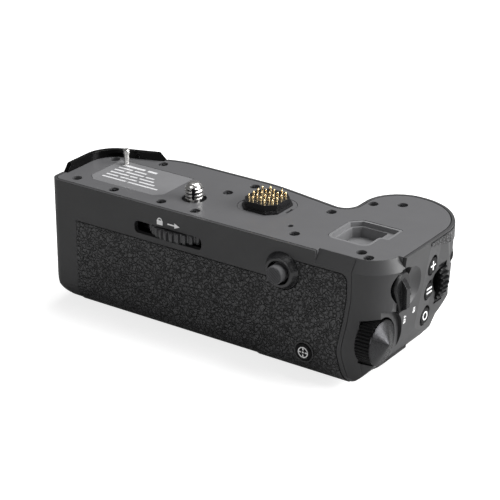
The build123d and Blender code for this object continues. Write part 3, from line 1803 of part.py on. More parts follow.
def battery_tray():
    """Sliding tray with low rails, an end wall and a low lip at the contacts."""
    end_x0 = battery_left - tray_end_wall
    right = battery_right + tray_rail
    tray = block(end_x0, right, tray_rear, tray_front, tray_low, tray_top_face)
    rail_top = tray_top_face + tray_rail_height
    tray += block(end_x0, right, tray_rear, battery_rear, tray_low, rail_top)
    tray += block(end_x0, right, battery_front, tray_front, tray_low, rail_top)
    lip_top = tray_top_face + tray_lip_height
    tray += block(battery_right, right, tray_rear, tray_front, tray_low, lip_top)
    wall_top = bay_ceiling - moving_gap - seal_width
    tray += block(end_x0, battery_left, tray_rear + seal_width, tray_front - seal_width, tray_low, wall_top)
    tray &= body_volume(wall + bay_gap - hair_gap)
    for y, z in tray_screw_places():
        tray -= rod_x(y, z, end_x0 - overrun, battery_left + overrun, tray_screw_radius + hair_gap)
        tray -= rod_x(
            y, z, battery_left - screw_head_height, battery_left + overrun, tray_screw_head + hair_gap
        )
    return tray


def tray_screw_places():
    """Y and Z of the screws between the tray and its cover."""
    z = (tray_top_face + bay_ceiling) / 2
    front = pod_left_y - tray_screw_head - wall
    return [(front, z + tray_rail_height), (front, z - tray_rail_height)]


def tray_screws():
    """Screws that hold the cover on the tray."""
    screws = []
    for y, z in tray_screw_places():
        head = rod_x(y, z, battery_left - screw_head_height, battery_left, tray_screw_head)
        end = battery_left - screw_head_height - tray_screw_length
        screws.append(head + rod_x(y, z, end, battery_left - screw_head_height, tray_screw_radius))
    return screws


def tray_seal():
    """Rubber frame round the tray's end wall."""
    x1 = battery_left - (tray_end_wall - seal_thickness) / 2
    x0 = x1 - seal_thickness
    top = bay_ceiling - moving_gap
    outer = block(x0, x1, tray_rear, tray_front, tray_top_face + tray_rail_height, top)
    inner_rear, inner_front = tray_rear + seal_width, tray_front - seal_width
    inner = block(x0 - overrun, x1 + overrun, inner_rear, inner_front, tray_low, top - seal_width)
    return (outer - inner) & body_volume(wall + bay_gap)


def tray_cover():
    """End of the casing that carries the tray and the key."""
    cover = body_volume(0) & cover_zone(bay_gap)
    far = screw_to_front + far_overrun
    cover -= block(cover_inner_x, 0, rear_y, far, -body_height, 0) & body_volume(wall / 2)
    for y, z in tray_screw_places():
        cover += rod_x(y, z, cover_inner_x - overrun, cover_inner_x + key_gap, tray_screw_head)
        cover -= rod_x(
            y, z, cover_inner_x - tray_screw_length, cover_inner_x + key_gap, tray_screw_radius + hair_gap
        )
    y, z = key_place()
    cover -= rod_x(y, z, -screw_to_left - far_overrun, left_x(z) + key_recess, key_radius + moving_gap)
    return cover - rod_x(y, z, -screw_to_left, cover_inner_x + overrun, key_shaft_radius + running_gap)


def key_place():
    """Y and Z of the key's axis."""
    return -key_y_share * screw_to_rear, depth(key_depth_share)


def lock_key():
    """Turn key with a finger bar outside and an arm inside; it rests unlocked."""
    y, z = key_place()
    back = left_x(z) + key_recess - moving_gap
    disc = rod_x(y, z, back - key_disc_thickness, back, key_radius)
    half = key_bar_width / 2
    bar_front = back - key_disc_thickness - key_bar_height
    reach = key_radius - half
    key = disc + block(bar_front, back - key_disc_thickness, y - half, y + half, z - reach, z + reach)
    arm_x1 = cover_inner_x + (key_gap + key_arm_thickness) / 2
    arm_x0 = arm_x1 - key_arm_thickness
    key += rod_x(y, z, back, arm_x1, key_shaft_radius)
    half_arm = key_arm_width / 2
    return key + block(arm_x0, arm_x1, y - half_arm, y + half_arm, z, z + key_arm_reach)


def tripod_socket():
    """Threaded insert in the base for a tripod or a strap plate."""
    x, y = place(socket_shares)
    low = -body_height - pad_proud + socket_sink
    insert = rod_z(x, y, low, low + socket_height, socket_radius)
    insert += rod_z(x, y, low, low + socket_flange_thickness, socket_flange_radius)
    insert -= rod_z(x, y, low - overrun, low + socket_bore_depth, socket_bore_radius)
    wide = socket_bore_radius + socket_mouth_chamfer
    return insert - rod_z(x, y, low, low + socket_mouth_chamfer, wide, socket_bore_radius)


def save(name, pieces):
    """Write one sub-part, which may be a group of separate solids."""
    group = pieces if isinstance(pieces, list) else [pieces]
    solids = [solid for piece in group for solid in piece.solids()]
    export_step(
        Compound(label=name, children=solids) if len(solids) > 1 else solids[0], f"parts/{name}.step"
    )


def main():
    os.makedirs("parts", exist_ok=True)
    body = casing()
    deep_top = frame_low + screw_head_height
    plate_screw_length = plate_thickness + frame_drop + frame_thickness - screw_sink - screw_head_height
    save("main_shell", main_shell(body))
    save("end_cap", end_cap(body))
    save("top_plate", top_plate())
    save("inner_frame", inner_frame())
    save("camera_lip", camera_lip())
    save("rating_label", rating_label())
    save("top_screws", cross_screws(all_top_screw_places(), -screw_sink, plate_screw_length))
    save("deep_screws", cross_screws(all_deep_places(), deep_top, cap_tab_thickness))
    save("rear_leather", rear_leather())
    save("front_leather", skin(front_panel_zone(0), -leather_proud, leather_recess))
    save("grip_leather", skin(grip_panel_zone(0), -leather_proud, leather_recess))
    save("end_leather", skin(end_band_zone(0), -leather_proud, leather_recess))
    save("base_pad", base_pad())
    save("tripod_socket", tripod_socket())
    save("tripod_screw", tripod_screw())
    save("lock_wheel", lock_wheel())
    save("screw_collar", screw_collar())
    save("wheel_bracket", wheel_bracket())
    save("screw_clip", screw_clip())
    save("locating_pin", locating_pin())
    save("connector_block", connector_block())
    save("connector_pins", connector_pins())
    save("connector_frame", connector_frame())
    save("cover_pocket", cover_pocket())
    save("joystick_collar", joystick_collar())
    save("joystick_base", joystick_base())
    save("joystick_gimbal", joystick_gimbal())
    save("joystick_stem", joystick_stem())
    save("joystick_knob", joystick_knob())
    save("af_lock_ring", af_lock_ring())
    save("af_lock_button", af_lock_button())
    save("rear_switch", rear_switch())
    save("rear_board", rear_board())
    save("power_lever", power_lever())
    save("power_switch", power_switch())
    for number, share in enumerate(function_button_depth_shares, start=1):
        save(f"function_button_{number}", function_button(share))
    save("dome_switches", dome_switches())
    save("control_board", control_board())
    save("board_screws", board_screws())
    save("front_dial", front_dial())
    save("front_dial_axle", front_dial_axle())
    save("dial_encoders", dial_encoders())
    save("shutter_ring", shutter_ring())
    save("shutter_button", shutter_button())
    save("shutter_switch", shutter_switch())
    save("rear_dial", rear_dial())
    save("rear_dial_axle", rear_dial_axle())
    save("main_board", main_board())
    save("ribbon_cable", ribbon_cable())
    save("battery_chamber", battery_chamber())
    save("contact_block", contact_block())
    save("contact_blades", contact_blades())
    save("battery_tray", battery_tray())
    save("tray_screws", tray_screws())
    save("tray_seal", tray_seal())
    save("tray_cover", tray_cover())
    save("lock_key", lock_key())


main()
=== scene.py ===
# %% [markdown]
# # A camera battery grip, dressed for a studio picture
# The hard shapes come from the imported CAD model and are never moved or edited. This script gives each of
# them a finish, swaps a few for finer meshes, and adds the small printed marks.

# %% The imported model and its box
import json
import math

import bpy
from mathutils import Matrix, Vector


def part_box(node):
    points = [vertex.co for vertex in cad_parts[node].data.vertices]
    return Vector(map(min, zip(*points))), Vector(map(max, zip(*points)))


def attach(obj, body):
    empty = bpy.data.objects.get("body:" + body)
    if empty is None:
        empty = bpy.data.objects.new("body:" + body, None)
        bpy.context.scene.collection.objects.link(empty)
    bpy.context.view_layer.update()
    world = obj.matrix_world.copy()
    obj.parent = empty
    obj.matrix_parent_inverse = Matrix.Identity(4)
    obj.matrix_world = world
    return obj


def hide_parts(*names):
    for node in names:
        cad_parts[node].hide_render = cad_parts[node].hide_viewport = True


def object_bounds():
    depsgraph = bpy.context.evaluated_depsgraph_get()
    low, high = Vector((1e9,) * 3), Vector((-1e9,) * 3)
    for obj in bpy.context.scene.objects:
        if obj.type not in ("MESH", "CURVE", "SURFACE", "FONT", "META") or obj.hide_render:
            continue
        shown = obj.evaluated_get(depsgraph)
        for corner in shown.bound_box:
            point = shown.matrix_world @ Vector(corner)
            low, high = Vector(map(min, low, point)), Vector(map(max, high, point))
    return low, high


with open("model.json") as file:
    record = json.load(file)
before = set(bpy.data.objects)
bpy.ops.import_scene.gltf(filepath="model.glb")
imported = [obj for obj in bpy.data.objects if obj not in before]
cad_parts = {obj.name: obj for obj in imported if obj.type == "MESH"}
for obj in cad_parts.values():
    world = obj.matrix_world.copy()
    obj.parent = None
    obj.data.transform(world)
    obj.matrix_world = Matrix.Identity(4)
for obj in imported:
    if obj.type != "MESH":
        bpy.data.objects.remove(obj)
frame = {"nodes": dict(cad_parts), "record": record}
nodes = frame["nodes"]
cad_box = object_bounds()
print("CAD box", [tuple(round(v, 4) for v in corner) for corner in cad_box])

# %% [markdown]
# ## Camera
# The photograph looks at the rear of the grip from the right and above. The camera stands about 0.65 m
# away with a long lens, so that the lines of the box run together as little as they do there.

# %% Camera
MM = 0.001
camera_data = bpy.data.cameras.new("camera")
camera_data.sensor_width = 36.0
camera_data.lens = 139.68
camera = bpy.data.objects.new("camera", camera_data)
bpy.context.collection.objects.link(camera)
camera_right = Vector((0.8231, 0.5678, 0.0))
camera_up = Vector((-0.2323, 0.3367, 0.9124))
camera_back = Vector((0.5181, -0.7511, 0.4091))
turn = Matrix((camera_right, camera_up, camera_back)).transposed()
camera.rotation_mode = "QUATERNION"
camera.rotation_quaternion = turn.to_quaternion()
camera.location = Vector((355.79, -482.92, 249.74)) * MM
camera_data.clip_start = 0.05
camera_data.clip_end = 20.0
bpy.context.scene.camera = camera
bpy.context.scene.view_settings.view_transform = "Standard"
print("camera at", [round(c, 3) for c in camera.location], "lens", round(camera_data.lens, 2))

# %% [markdown]
# ## Shader maths as plain expressions
# A material is a graph of nodes. `Wire` wraps one output of that graph, so that `grain * 0.4 + 1` adds the
# Math nodes by itself, and `Finish.node` is the one way every other node is made.


# %% Wires and finishes
class Wire:
    """One output of a material's graph, which can be used in sums."""

    def __init__(self, finish, socket):
        self.finish = finish
        self.socket = socket

    def math(self, operation, other=None, swap=False):
        values = [self] if other is None else [self, other]
        if swap:
            values.reverse()
        return self.finish.node("ShaderNodeMath", {"operation": operation}, dict(enumerate(values)))

    def __add__(self, other):
        return self.math("ADD", other)

    def __radd__(self, other):
        return self.math("ADD", other, swap=True)

    def __sub__(self, other):
        return self.math("SUBTRACT", other)

    def __rsub__(self, other):
        return self.math("SUBTRACT", other, swap=True)

    def __mul__(self, other):
        return self.math("MULTIPLY", other)

    def __rmul__(self, other):
        return self.math("MULTIPLY", other, swap=True)

    def __pow__(self, other):
        return self.math("POWER", other)


class Finish:
    """A material with one Principled shader and helpers for the nodes that feed it."""

    def __init__(self, name, colour, roughness, metallic=0.0, specular=0.5):
        self.material = bpy.data.materials.new(name)
        self.material.use_nodes = True
        self.tree = self.material.node_tree
        self.tree.nodes.clear()
        self.shader = self.tree.nodes.new("ShaderNodeBsdfPrincipled")
        output = self.tree.nodes.new("ShaderNodeOutputMaterial")
        self.tree.links.new(self.shader.outputs[0], output.inputs["Surface"])
        self.shader.inputs["Base Color"].default_value = (*colour, 1)
        self.shader.inputs["Roughness"].default_value = roughness
        self.shader.inputs["Metallic"].default_value = metallic
        self.shader.inputs["Specular IOR Level"].default_value = specular
        self.material.diffuse_color = (*colour, 1)

    def node(self, kind, settings=None, inputs=None, output=0):
        made = self.tree.nodes.new(kind)
        for key, value in (settings or {}).items():
            if key == "stops":
                self.set_stops(made.color_ramp, value)
            else:
                setattr(made, key, value)
        for key, value in (inputs or {}).items():
            self.feed(made.inputs[key], value)
        return Wire(self, made.outputs[output])

    def set_stops(self, ramp, stops):
        while len(ramp.elements) < len(stops):
            ramp.elements.new(0.5)
        for element, (place, grey) in zip(ramp.elements, stops):
            element.position = place
            element.color = (grey, grey, grey, 1)

    def feed(self, socket, value):
        if isinstance(value, Wire):
            self.tree.links.new(value.socket, socket)
        else:
            socket.default_value = value

    def paint(self, **wires):
        for key, wire in wires.items():
            self.feed(self.shader.inputs[key.replace("_", " ")], wire)

    def place(self):
        return self.node("ShaderNodeTexCoord", output="Object")

    def noise(self, scale, detail=2.0, roughness=0.5, place=None):
        inputs = {"Vector": place or self.place(), "Scale": scale, "Detail": detail, "Roughness": roughness}
        return self.node("ShaderNodeTexNoise", {}, inputs, "Fac")

    def ramp(self, wire, *stops):
        return self.node("ShaderNodeValToRGB", {"stops": stops}, {"Fac": wire})

    def mix(self, share, dark, bright):
        inputs = {0: share, 6: (*dark, 1), 7: (*bright, 1)}
        return self.node("ShaderNodeMix", {"data_type": "RGBA"}, inputs, 2)

    def rounded(self, radius):
        return self.node("ShaderNodeBevel", {"samples": 4}, {"Radius": radius}, "Normal")

    def bump(self, height, strength, distance, under=None):
        inputs = {"Height": height, "Strength": strength, "Distance": distance}
        if under is not None:
            inputs["Normal"] = under
        return self.node("ShaderNodeBump", {}, inputs, "Normal")


def tone(colour, share):
    """The same colour, lighter or darker by a share."""
    return tuple(min(1.0, c * share) for c in colour)


# %% [markdown]
# ## Moulded plastic
# The casing has the fine spark texture of a moulded, lightly painted shell: an even satin with tiny
# bumps of about a tenth of a millimetre, slow changes of gloss where hands have been, and edges that a
# mould never leaves sharp. A Bevel node rounds the edges for the light alone.


# %% Satin plastic
def satin_plastic(name, colour, roughness, edge=0.3 * MM, grain=0.25, specular=0.5):
    finish = Finish(name, colour, roughness, specular=specular)
    cloudy = finish.noise(60, 3)
    spark = finish.noise(9000, 2, 0.6)
    handled = finish.ramp(cloudy, (0.35, 0.0), (0.7, 1.0))
    specks = finish.ramp(spark, (0.35, 0.0), (0.65, 1.0))
    finish.paint(
        Base_Color=finish.mix(handled * 0.6 + specks * 0.4, tone(colour, 0.9), tone(colour, 1.12)),
        Roughness=handled * -0.06 + specks * 0.05 + roughness,
        Normal=finish.bump(spark, grain, 0.02 * MM, finish.rounded(edge)),
    )
    return finish.material


plate_grey = satin_plastic("plate_grey", (0.077, 0.077, 0.08), 0.42, 0.1 * MM)
shell_grey = satin_plastic("shell_grey", (0.036, 0.036, 0.037), 0.44, 0.2 * MM, specular=0.35)
lever_grey = satin_plastic("lever_grey", (0.009, 0.009, 0.0095), 0.27, 0.45 * MM, specular=0.3)
control_black = satin_plastic("control_black", (0.007, 0.007, 0.0075), 0.27, 0.25 * MM, specular=0.35)
button_black = satin_plastic("button_black", (0.004, 0.004, 0.0043), 0.32, 0.3 * MM, specular=0.12)
pocket_grey = satin_plastic("pocket_grey", (0.13, 0.13, 0.134), 0.45, 0.1 * MM)
# The lock wheel gets a lighter grey than the other black controls: painted light on its ribs, which sit in a
# shaded window.
wheel_painted_light_grey = satin_plastic("wheel_painted_light_grey", (0.045, 0.045, 0.047), 0.25, 0.15 * MM)
collar_black = satin_plastic("collar_black", (0.014, 0.014, 0.015), 0.24, 0.3 * MM, specular=0.6)
label_grey = satin_plastic("label_grey", (0.13, 0.13, 0.134), 0.5, 0.02 * MM, 0.12)
print("plastics", plate_grey.name, shell_grey.name, lever_grey.name, control_black.name, button_black.name)

# %% [markdown]
# ## Glossy lip
# The lip is polished black plastic: nearly smooth, with a clear coat and a few hair scratches.


# %% Gloss plastic
def gloss_plastic(name, colour):
    finish = Finish(name, colour, 0.12, specular=0.2)
    finish.shader.inputs["Coat Roughness"].default_value = 0.05
    scratches = finish.noise(2500, 4, 0.7)
    smudges = finish.noise(90, 3)
    finish.paint(
        Base_Color=finish.mix(smudges, tone(colour, 0.85), tone(colour, 1.3)),
        Roughness=smudges * 0.08 + scratches * 0.05 + 0.05,
        Normal=finish.bump(scratches, 0.05, 0.01 * MM, finish.rounded(0.25 * MM)),
    )
    finish.shader.inputs["Coat Weight"].default_value = 0.05
    return finish.material


gloss_black = gloss_plastic("gloss_black", (0.001, 0.001, 0.001))

# %% [markdown]
# ## Pebbled leather
# The covering is a rubbery leather with worm-like pebbles and channels between them. A Voronoi pattern
# bent by noise gives such cells: the distance to a cell's edge is the pebble's height and gloss, and its
# colour too: nearly black in the channels as painted shade, lighter on the tops.


# %% Leather grain
def pebbled_leather(name, colour):
    finish = Finish(name, colour, 0.5)
    noise_inputs = {"Vector": finish.place(), "Scale": 430.0, "Detail": 1.0}
    bend = finish.node("ShaderNodeTexNoise", {}, noise_inputs, "Color")
    pushed = finish.node("ShaderNodeVectorMath", {"operation": "SCALE"}, {0: bend, "Scale": 3.2 * MM})
    place = finish.node("ShaderNodeVectorMath", {"operation": "ADD"}, {0: finish.place(), 1: pushed})
    edges = {"feature": "DISTANCE_TO_EDGE"}
    cells = finish.node("ShaderNodeTexVoronoi", edges, {"Vector": place, "Scale": 720.0}, "Distance")
    pebble_height_and_shade = finish.ramp(cells, (0.03, 0.0), (0.11, 0.85), (0.3, 1.0))
    fine = finish.noise(5200, 3, 0.6)
    height = pebble_height_and_shade + fine * 0.12
    finish.paint(
        # Base colour: painted shade, nearly black in the channels between the pebbles and lighter on their
        # tops.
        Base_Color=finish.mix(pebble_height_and_shade, tone(colour, 0.02), tone(colour, 1.75)),
        Roughness=pebble_height_and_shade * -0.25 + fine * 0.1 + 0.46,
        Normal=finish.bump(height, 1.0, 0.5 * MM),
    )
    return finish.material


leather_black = pebbled_leather("leather_black", (0.02, 0.02, 0.021))

# %% [markdown]
# ## Rubber
# The base pad and the seal are matt rubber with a fine dusty grain.


# %% Rubber
def matt_rubber(name, colour):
    finish = Finish(name, colour, 0.75, specular=0.3)
    grain = finish.noise(6000, 3, 0.7)
    dust = finish.noise(120, 4, 0.6)
    finish.paint(
        Base_Color=finish.mix(dust, tone(colour, 0.8), tone(colour, 1.5)),
        Roughness=dust * 0.12 + 0.7,
        Normal=finish.bump(grain, 0.3, 0.03 * MM, finish.rounded(0.2 * MM)),
    )
    return finish.material


rubber_black = matt_rubber("rubber_black", (0.014, 0.014, 0.014))
seal_rubber = matt_rubber("seal_rubber", (0.02, 0.02, 0.02))

# %% [markdown]
# ## Metals
# The tripod screw and the locating pin are turned steel, the contact pins are gold plated, and the small
# screws are blackened steel. Noise stretched across the axis stands in for the marks of turning.


# %% Turned and plated metal
def metal(name, colour, roughness, ring_scale=0.0, edge=0.08 * MM):
    finish = Finish(name, colour, roughness, metallic=1.0)
    patina = finish.noise(400, 3)
    fine = finish.noise(7000, 2, 0.6)
    if ring_scale:
        stretch = finish.node("ShaderNodeMapping", {}, {"Vector": finish.place(), "Scale": (0.05, 0.05, 1.0)})
        fine = finish.noise(ring_scale, 3, 0.6, stretch)
    finish.paint(
        Base_Color=finish.mix(patina, tone(colour, 0.93), tone(colour, 1.04)),
        Roughness=patina * 0.08 + fine * 0.06 + roughness - 0.06,
        Normal=finish.bump(fine, 0.03, 0.005 * MM, finish.rounded(edge)),
    )
    return finish.material


steel = metal("steel", (0.8, 0.79, 0.77), 0.26, ring_scale=14000.0)
dark_steel = metal("dark_steel", (0.03, 0.03, 0.032), 0.3)
gold_contact = metal("gold_contact", (0.93, 0.72, 0.4), 0.16)
frame_alloy = metal("frame_alloy", (0.55, 0.55, 0.56), 0.4)
print("metals", steel.name, dark_steel.name, gold_contact.name, frame_alloy.name)


# %% [markdown]
# ## Inner parts
# Boards and films are hidden in the closed grip, but they are finished too, for a view with parts open.


# %% Boards and film
def circuit_board(name, colour):
    finish = Finish(name, colour, 0.35)
    tracks = finish.node("ShaderNodeTexBrick", {}, {"Vector": finish.place(), "Scale": 320.0}, "Fac")
    finish.paint(
        Base_Color=finish.mix(tracks, colour, tone(colour, 2.2)),
        Roughness=tracks * 0.15 + 0.3,
        Normal=finish.bump(tracks, 0.2, 0.03 * MM),
    )
    return finish.material


def film(name, colour):
    finish = Finish(name, colour, 0.3)
    lines = finish.node(
        "ShaderNodeTexWave", {"bands_direction": "Y"}, {"Vector": finish.place(), "Scale": 900.0}, "Fac"
    )
    finish.paint(
        Base_Color=finish.mix(lines, tone(colour, 0.7), colour),
        Roughness=lines * 0.1 + 0.28,
        Normal=finish.bump(lines, 0.15, 0.02 * MM),
    )
    return finish.material


board_green = circuit_board("board_green", (0.01, 0.09, 0.035))
ribbon_amber = film("ribbon_amber", (0.5, 0.25, 0.05))

# %% [markdown]
# ## Finishes for the CAD pieces
# The record names a slot for each node, and the slot's finish goes on that node. Some pieces have
# a finish of their own, because the real ones are darker, paler or glossier than the rest of their slot.

# %% Dress every CAD node
slot_finish = {
    "plate_grey": plate_grey,
    "shell_grey": shell_grey,
    "gloss_black": gloss_black,
    "leather_black": leather_black,
    "rubber_black": rubber_black,
    "control_black": control_black,
    "lever_grey": lever_grey,
    "label_grey": label_grey,
    "steel": steel,
    "dark_steel": dark_steel,
    "gold_contact": gold_contact,
    "board_green": board_green,
    "frame_alloy": frame_alloy,
    "ribbon_amber": ribbon_amber,
    "seal_rubber": seal_rubber,
}
node_slot = {part["node"]: part["material_slot"] for part in frame["record"]["subparts"]}
own_finish = {"cover_pocket": pocket_grey, "joystick_collar": collar_black, "af_lock_ring": collar_black}
own_finish.update({f"function_button_{number}": button_black for number in (1, 2, 3)})
own_finish["af_lock_button"] = button_black
for name, obj in nodes.items():
    obj.data.materials.clear()
    obj.data.materials.append(own_finish.get(name, slot_finish[node_slot[name]]))
print("dressed", len(nodes), "CAD nodes")

# %% [markdown]
# ## Turned cone and print
# The rear dial ends in a turned cone of dark metal, whose grooves are a sine of the distance from its axis.
# The marks are pale ink, and the label's print is a greyer ink.


# %% Cone and inks
def turned_cone(name, colour, axis_y, axis_z):
    """Dark metal with turning grooves round an axis along X, which spread a highlight along the radius."""
    finish = Finish(name, colour, 0.22, metallic=1.0)
    apart = finish.node("ShaderNodeSeparateXYZ", {}, {0: finish.place()}).socket.node
    across = (Wire(finish, apart.outputs["Y"]) - axis_y) ** 2.0
    along = (Wire(finish, apart.outputs["Z"]) - axis_z) ** 2.0
    distance = (across + along).math("SQRT")
    groove_pitch = 0.16 * MM
    groove = (distance * (math.tau / groove_pitch)).math("SINE")
    wear = finish.noise(500, 3)
    finish.paint(
        Base_Color=finish.mix(wear, tone(colour, 0.8), tone(colour, 1.2)),
        Roughness=wear * 0.1 + 0.16,
        Normal=finish.bump(groove, 1.0, 0.012 * MM),
    )
    return finish.material


cone_axis_y = -9.3015
cone_axis_z = -27.495
spun_black = turned_cone("spun_black", (0.038, 0.038, 0.04), cone_axis_y * MM, cone_axis_z * MM)
knob_rubber = matt_rubber("knob_rubber", (0.075, 0.075, 0.078))
white_print = satin_plastic("white_print", (0.78, 0.78, 0.78), 0.5, 0.005 * MM, 0.1)
label_print = satin_plastic("label_print", (0.5, 0.5, 0.51), 0.5, 0.005 * MM, 0.1)
print("cone and inks", spun_black.name, white_print.name, label_print.name)

# %% [markdown]
# ## Round and toothed pieces
# A screw, a wheel or a knob is a profile spun round an axis. `spun` makes such a closed mesh; a small
# function may push each point in or out by its angle, which gives teeth, ribs, slots or a thread.


# %% Spun meshes
def stand(name, verts, faces, finish, sharp=35.0):
    """A mesh object whose edges stay sharp above an angle."""
    mesh = bpy.data.meshes.new(name)
    mesh.from_pydata([tuple(v) for v in verts], [], faces)
    mesh.materials.append(finish)
    mesh.polygons.foreach_set("use_smooth", [True] * len(mesh.polygons))
    mesh.set_sharp_from_angle(angle=math.radians(sharp))
    obj = bpy.data.objects.new(name, mesh)
    bpy.context.collection.objects.link(obj)
    return obj


def spun(rings, sides, shape=None):
    """Points and faces of a closed body round Z. rings lists (radius, height) from one end to the other."""
    verts = []
    for radius, height in rings:
        for k in range(sides):
            angle = math.tau * k / sides
            r, h = (radius, height) if shape is None else shape(radius, height, angle)
            verts.append(Vector((r * math.cos(angle), r * math.sin(angle), h)))
    faces = []
    for i in range(len(rings) - 1):
        for k in range(sides):
            n = (k + 1) % sides
            faces.append((i * sides + k, i * sides + n, (i + 1) * sides + n, (i + 1) * sides + k))
    last = (len(rings) - 1) * sides
    faces.append(tuple(reversed(range(sides))))
    faces.append(tuple(range(last, last + sides)))
    return verts, faces


def placed(verts, centre, axis, spin=0.0):
    """The same points in metres, with Z turned to the axis and the origin at the centre."""
    turn_to = Vector((0, 0, 1)).rotation_difference(Vector(axis)).to_matrix()
    roll = Matrix.Rotation(spin, 3, "Z")
    return [turn_to @ (roll @ v) * MM + Vector(centre) * MM for v in verts]


def tooth(angle, count, share, slope):
    """1 on a tooth, 0 between teeth, with sloping flanks; share is the tooth's part of the pitch."""
    place_in_pitch = abs((angle * count / math.tau) % 1.0 - 0.5) * 2
    return min(1.0, max(0.0, (share - place_in_pitch) / slope + 0.5))


def middle(node):
    """The middle of a CAD node's box, in millimetres."""
    low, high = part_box(node)
    return (low + high) / 2 / MM


# %% [markdown]
# ## Tripod screw
# A quarter-inch camera screw: three turns and a bit of real helical thread, a domed nose, and four slots
# milled along it. The thread's height at a point depends on its angle, which is what makes it a helix.
# The faces at the thread's root and in the slots are dark steel, painted shade that keeps the gaps between
# the turns dark.

# %% Helical thread
thread_major = 3.175
thread_minor = 2.5
thread_pitch = 1.27
thread_start = 0.25
thread_top = 4.35
ring_step = 0.08
dome_height = 1.38
dome_angles = (0.2, 0.45, 0.7, 0.95, 1.2, 1.4, 1.52)
slot_half_angle = 0.17
slot_turn = -0.26
screw_sides = 128


def thread_shape(radius, height, angle):
    """Push points out to the crest of the helix, except in the four milled slots."""
    if height < thread_start or height > thread_top + 0.4 or radius < thread_minor:
        return radius, height
    phase = (height / thread_pitch - angle / math.tau) % 1.0
    crest = min(1.0, max(0.0, 1.55 - abs(phase - 0.5) * 3.6))
    fade = min(1.0, max(0.0, (thread_top + 0.15 - height) / 0.5))
    quarter = (angle + math.pi / 4) % (math.pi / 2)
    if min(quarter, math.pi / 2 - quarter) < slot_half_angle:
        return radius * 0.93, height
    return radius + (thread_major - thread_minor) * crest * fade, height


spindle_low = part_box("tripod_screw")[0].z / MM
rings = [(2.0, spindle_low), (2.4, spindle_low + 0.4), (2.4, 0.1), (thread_minor, thread_start)]
rings += [(thread_minor, thread_start + ring_step * k) for k in range(1, 53)]
dome_start = rings[-1][1]
rings += [(thread_minor * math.cos(a) ** 0.55, dome_start + dome_height * math.sin(a)) for a in dome_angles]
verts, faces = spun(rings, screw_sides, thread_shape)
screw_verts = placed(verts, (0, 0, 0), (0, 0, 1), slot_turn)
camera_screw = stand("camera_screw_thread", screw_verts, faces, steel, 50)
# The root and slot faces take dark steel as painted shade.
camera_screw.data.materials.append(dark_steel)
root_radius = thread_minor + 0.3 * (thread_major - thread_minor)
for polygon in camera_screw.data.polygons:
    place_on_screw = polygon.center / MM
    in_thread = thread_start < place_on_screw.z < thread_top
    polygon.material_index = int(in_thread and place_on_screw.xy.length < root_radius)
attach(camera_screw, "camera_screw")
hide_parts("tripod_screw")
print("thread faces", len(faces))

# %% [markdown]
# ## Lock wheel
# The lock wheel turns the tripod screw. It is a disc with broad ribs for a fingertip, so a profile is spun
# and `tooth` pulls its rim in between the ribs.

# %% Lock wheel
low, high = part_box("lock_wheel")
wheel_radius = (high.x - low.x) / 2 / MM + 0.02
wheel_top = high.z / MM
wheel_low = wheel_top - 3.6
wheel_ribs = 40
wheel_face = 13.6
wheel_hub = 5.0


def wheel_shape(radius, height, angle):
    if radius < wheel_radius - 1.3:
        return radius, height
    return radius - 0.9 * (1 - tooth(angle, wheel_ribs, 0.55, 0.3)), height


rings = [(wheel_hub, wheel_low - 0.5), (wheel_hub, wheel_low), (wheel_face, wheel_low)]
rings += [(wheel_radius - 0.8, wheel_low), (wheel_radius - 0.35, wheel_low + 0.2)]
rings += [(wheel_radius - 0.1, wheel_low + 0.6), (wheel_radius, wheel_low + 1.1)]
rings += [(wheel_radius, wheel_top - 0.5), (wheel_radius - 0.12, wheel_top - 0.15)]
rings += [(wheel_radius - 0.45, wheel_top), (wheel_face, wheel_top), (wheel_hub, wheel_top)]
verts, faces = spun(rings, wheel_ribs * 14, wheel_shape)
# The ribs take the lighter grey: painted light, as the wheel sits in a shaded window.
lock_wheel = stand("lock_wheel_ribbed", placed(verts, (0, 0, 0), (0, 0, 1)), faces, wheel_painted_light_grey)
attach(lock_wheel, "camera_screw")
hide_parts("lock_wheel")
print("lock wheel radius", round(wheel_radius, 2))

# %% [markdown]
# ## Front dial
# The front dial has coarse rounded teeth, of which a finger meets only the edge. It is made as the lock
# wheel is, round an axis along Y.

# %% Front dial
low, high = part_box("front_dial")
front_centre = (low + high) / 2 / MM
front_radius = (high.x - low.x) / 2 / MM
front_width = (high.y - low.y) / MM
front_teeth = 34


def front_shape(radius, height, angle):
    if radius < front_radius - 1.6:
        return radius, height
    return radius - 0.8 * (1 - tooth(angle, front_teeth, 0.5, 0.34)), height


half = front_width / 2
rings = [(2.6, -half + 0.5), (7.6, -half + 0.5), (8.0, -half), (front_radius - 0.55, -half)]
rings += [(front_radius - 0.15, -half + 0.2), (front_radius, -half + 0.7), (front_radius, half - 0.7)]
rings += [(front_radius - 0.15, half - 0.2), (front_radius - 0.55, half), (8.0, half)]
rings += [(7.6, half - 0.5), (2.6, half - 0.5)]
verts, faces = spun(rings, front_teeth * 16, front_shape)
front_dial = stand("front_dial_toothed", placed(verts, front_centre, (0, 1, 0)), faces, button_black)
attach(front_dial, "front_wheel")
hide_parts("front_dial")
print("front dial", [round(c, 2) for c in front_centre], round(front_radius, 2))

# %% [markdown]
# ## Rear dial
# The rear dial has fine ribs and a cone on its outer face. The cone's rings step in and out a little, as
# turning leaves them, and the ribs get a blacker plastic than the cone.

# %% Rear dial
low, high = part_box("rear_dial")
dial_centre = (low + high) / 2 / MM
dial_radius = (high.y - low.y) / 2 / MM
dial_start = low.x / MM
dial_tip = high.x / MM
rib_end = dial_start + 5.4
rear_ribs = 40


def rib_shape(radius, height, angle):
    if radius < dial_radius - 0.5 or height > rib_end - dial_start:
        return radius, height
    return radius - 0.42 * (1 - tooth(angle, rear_ribs, 0.62, 0.4)), height


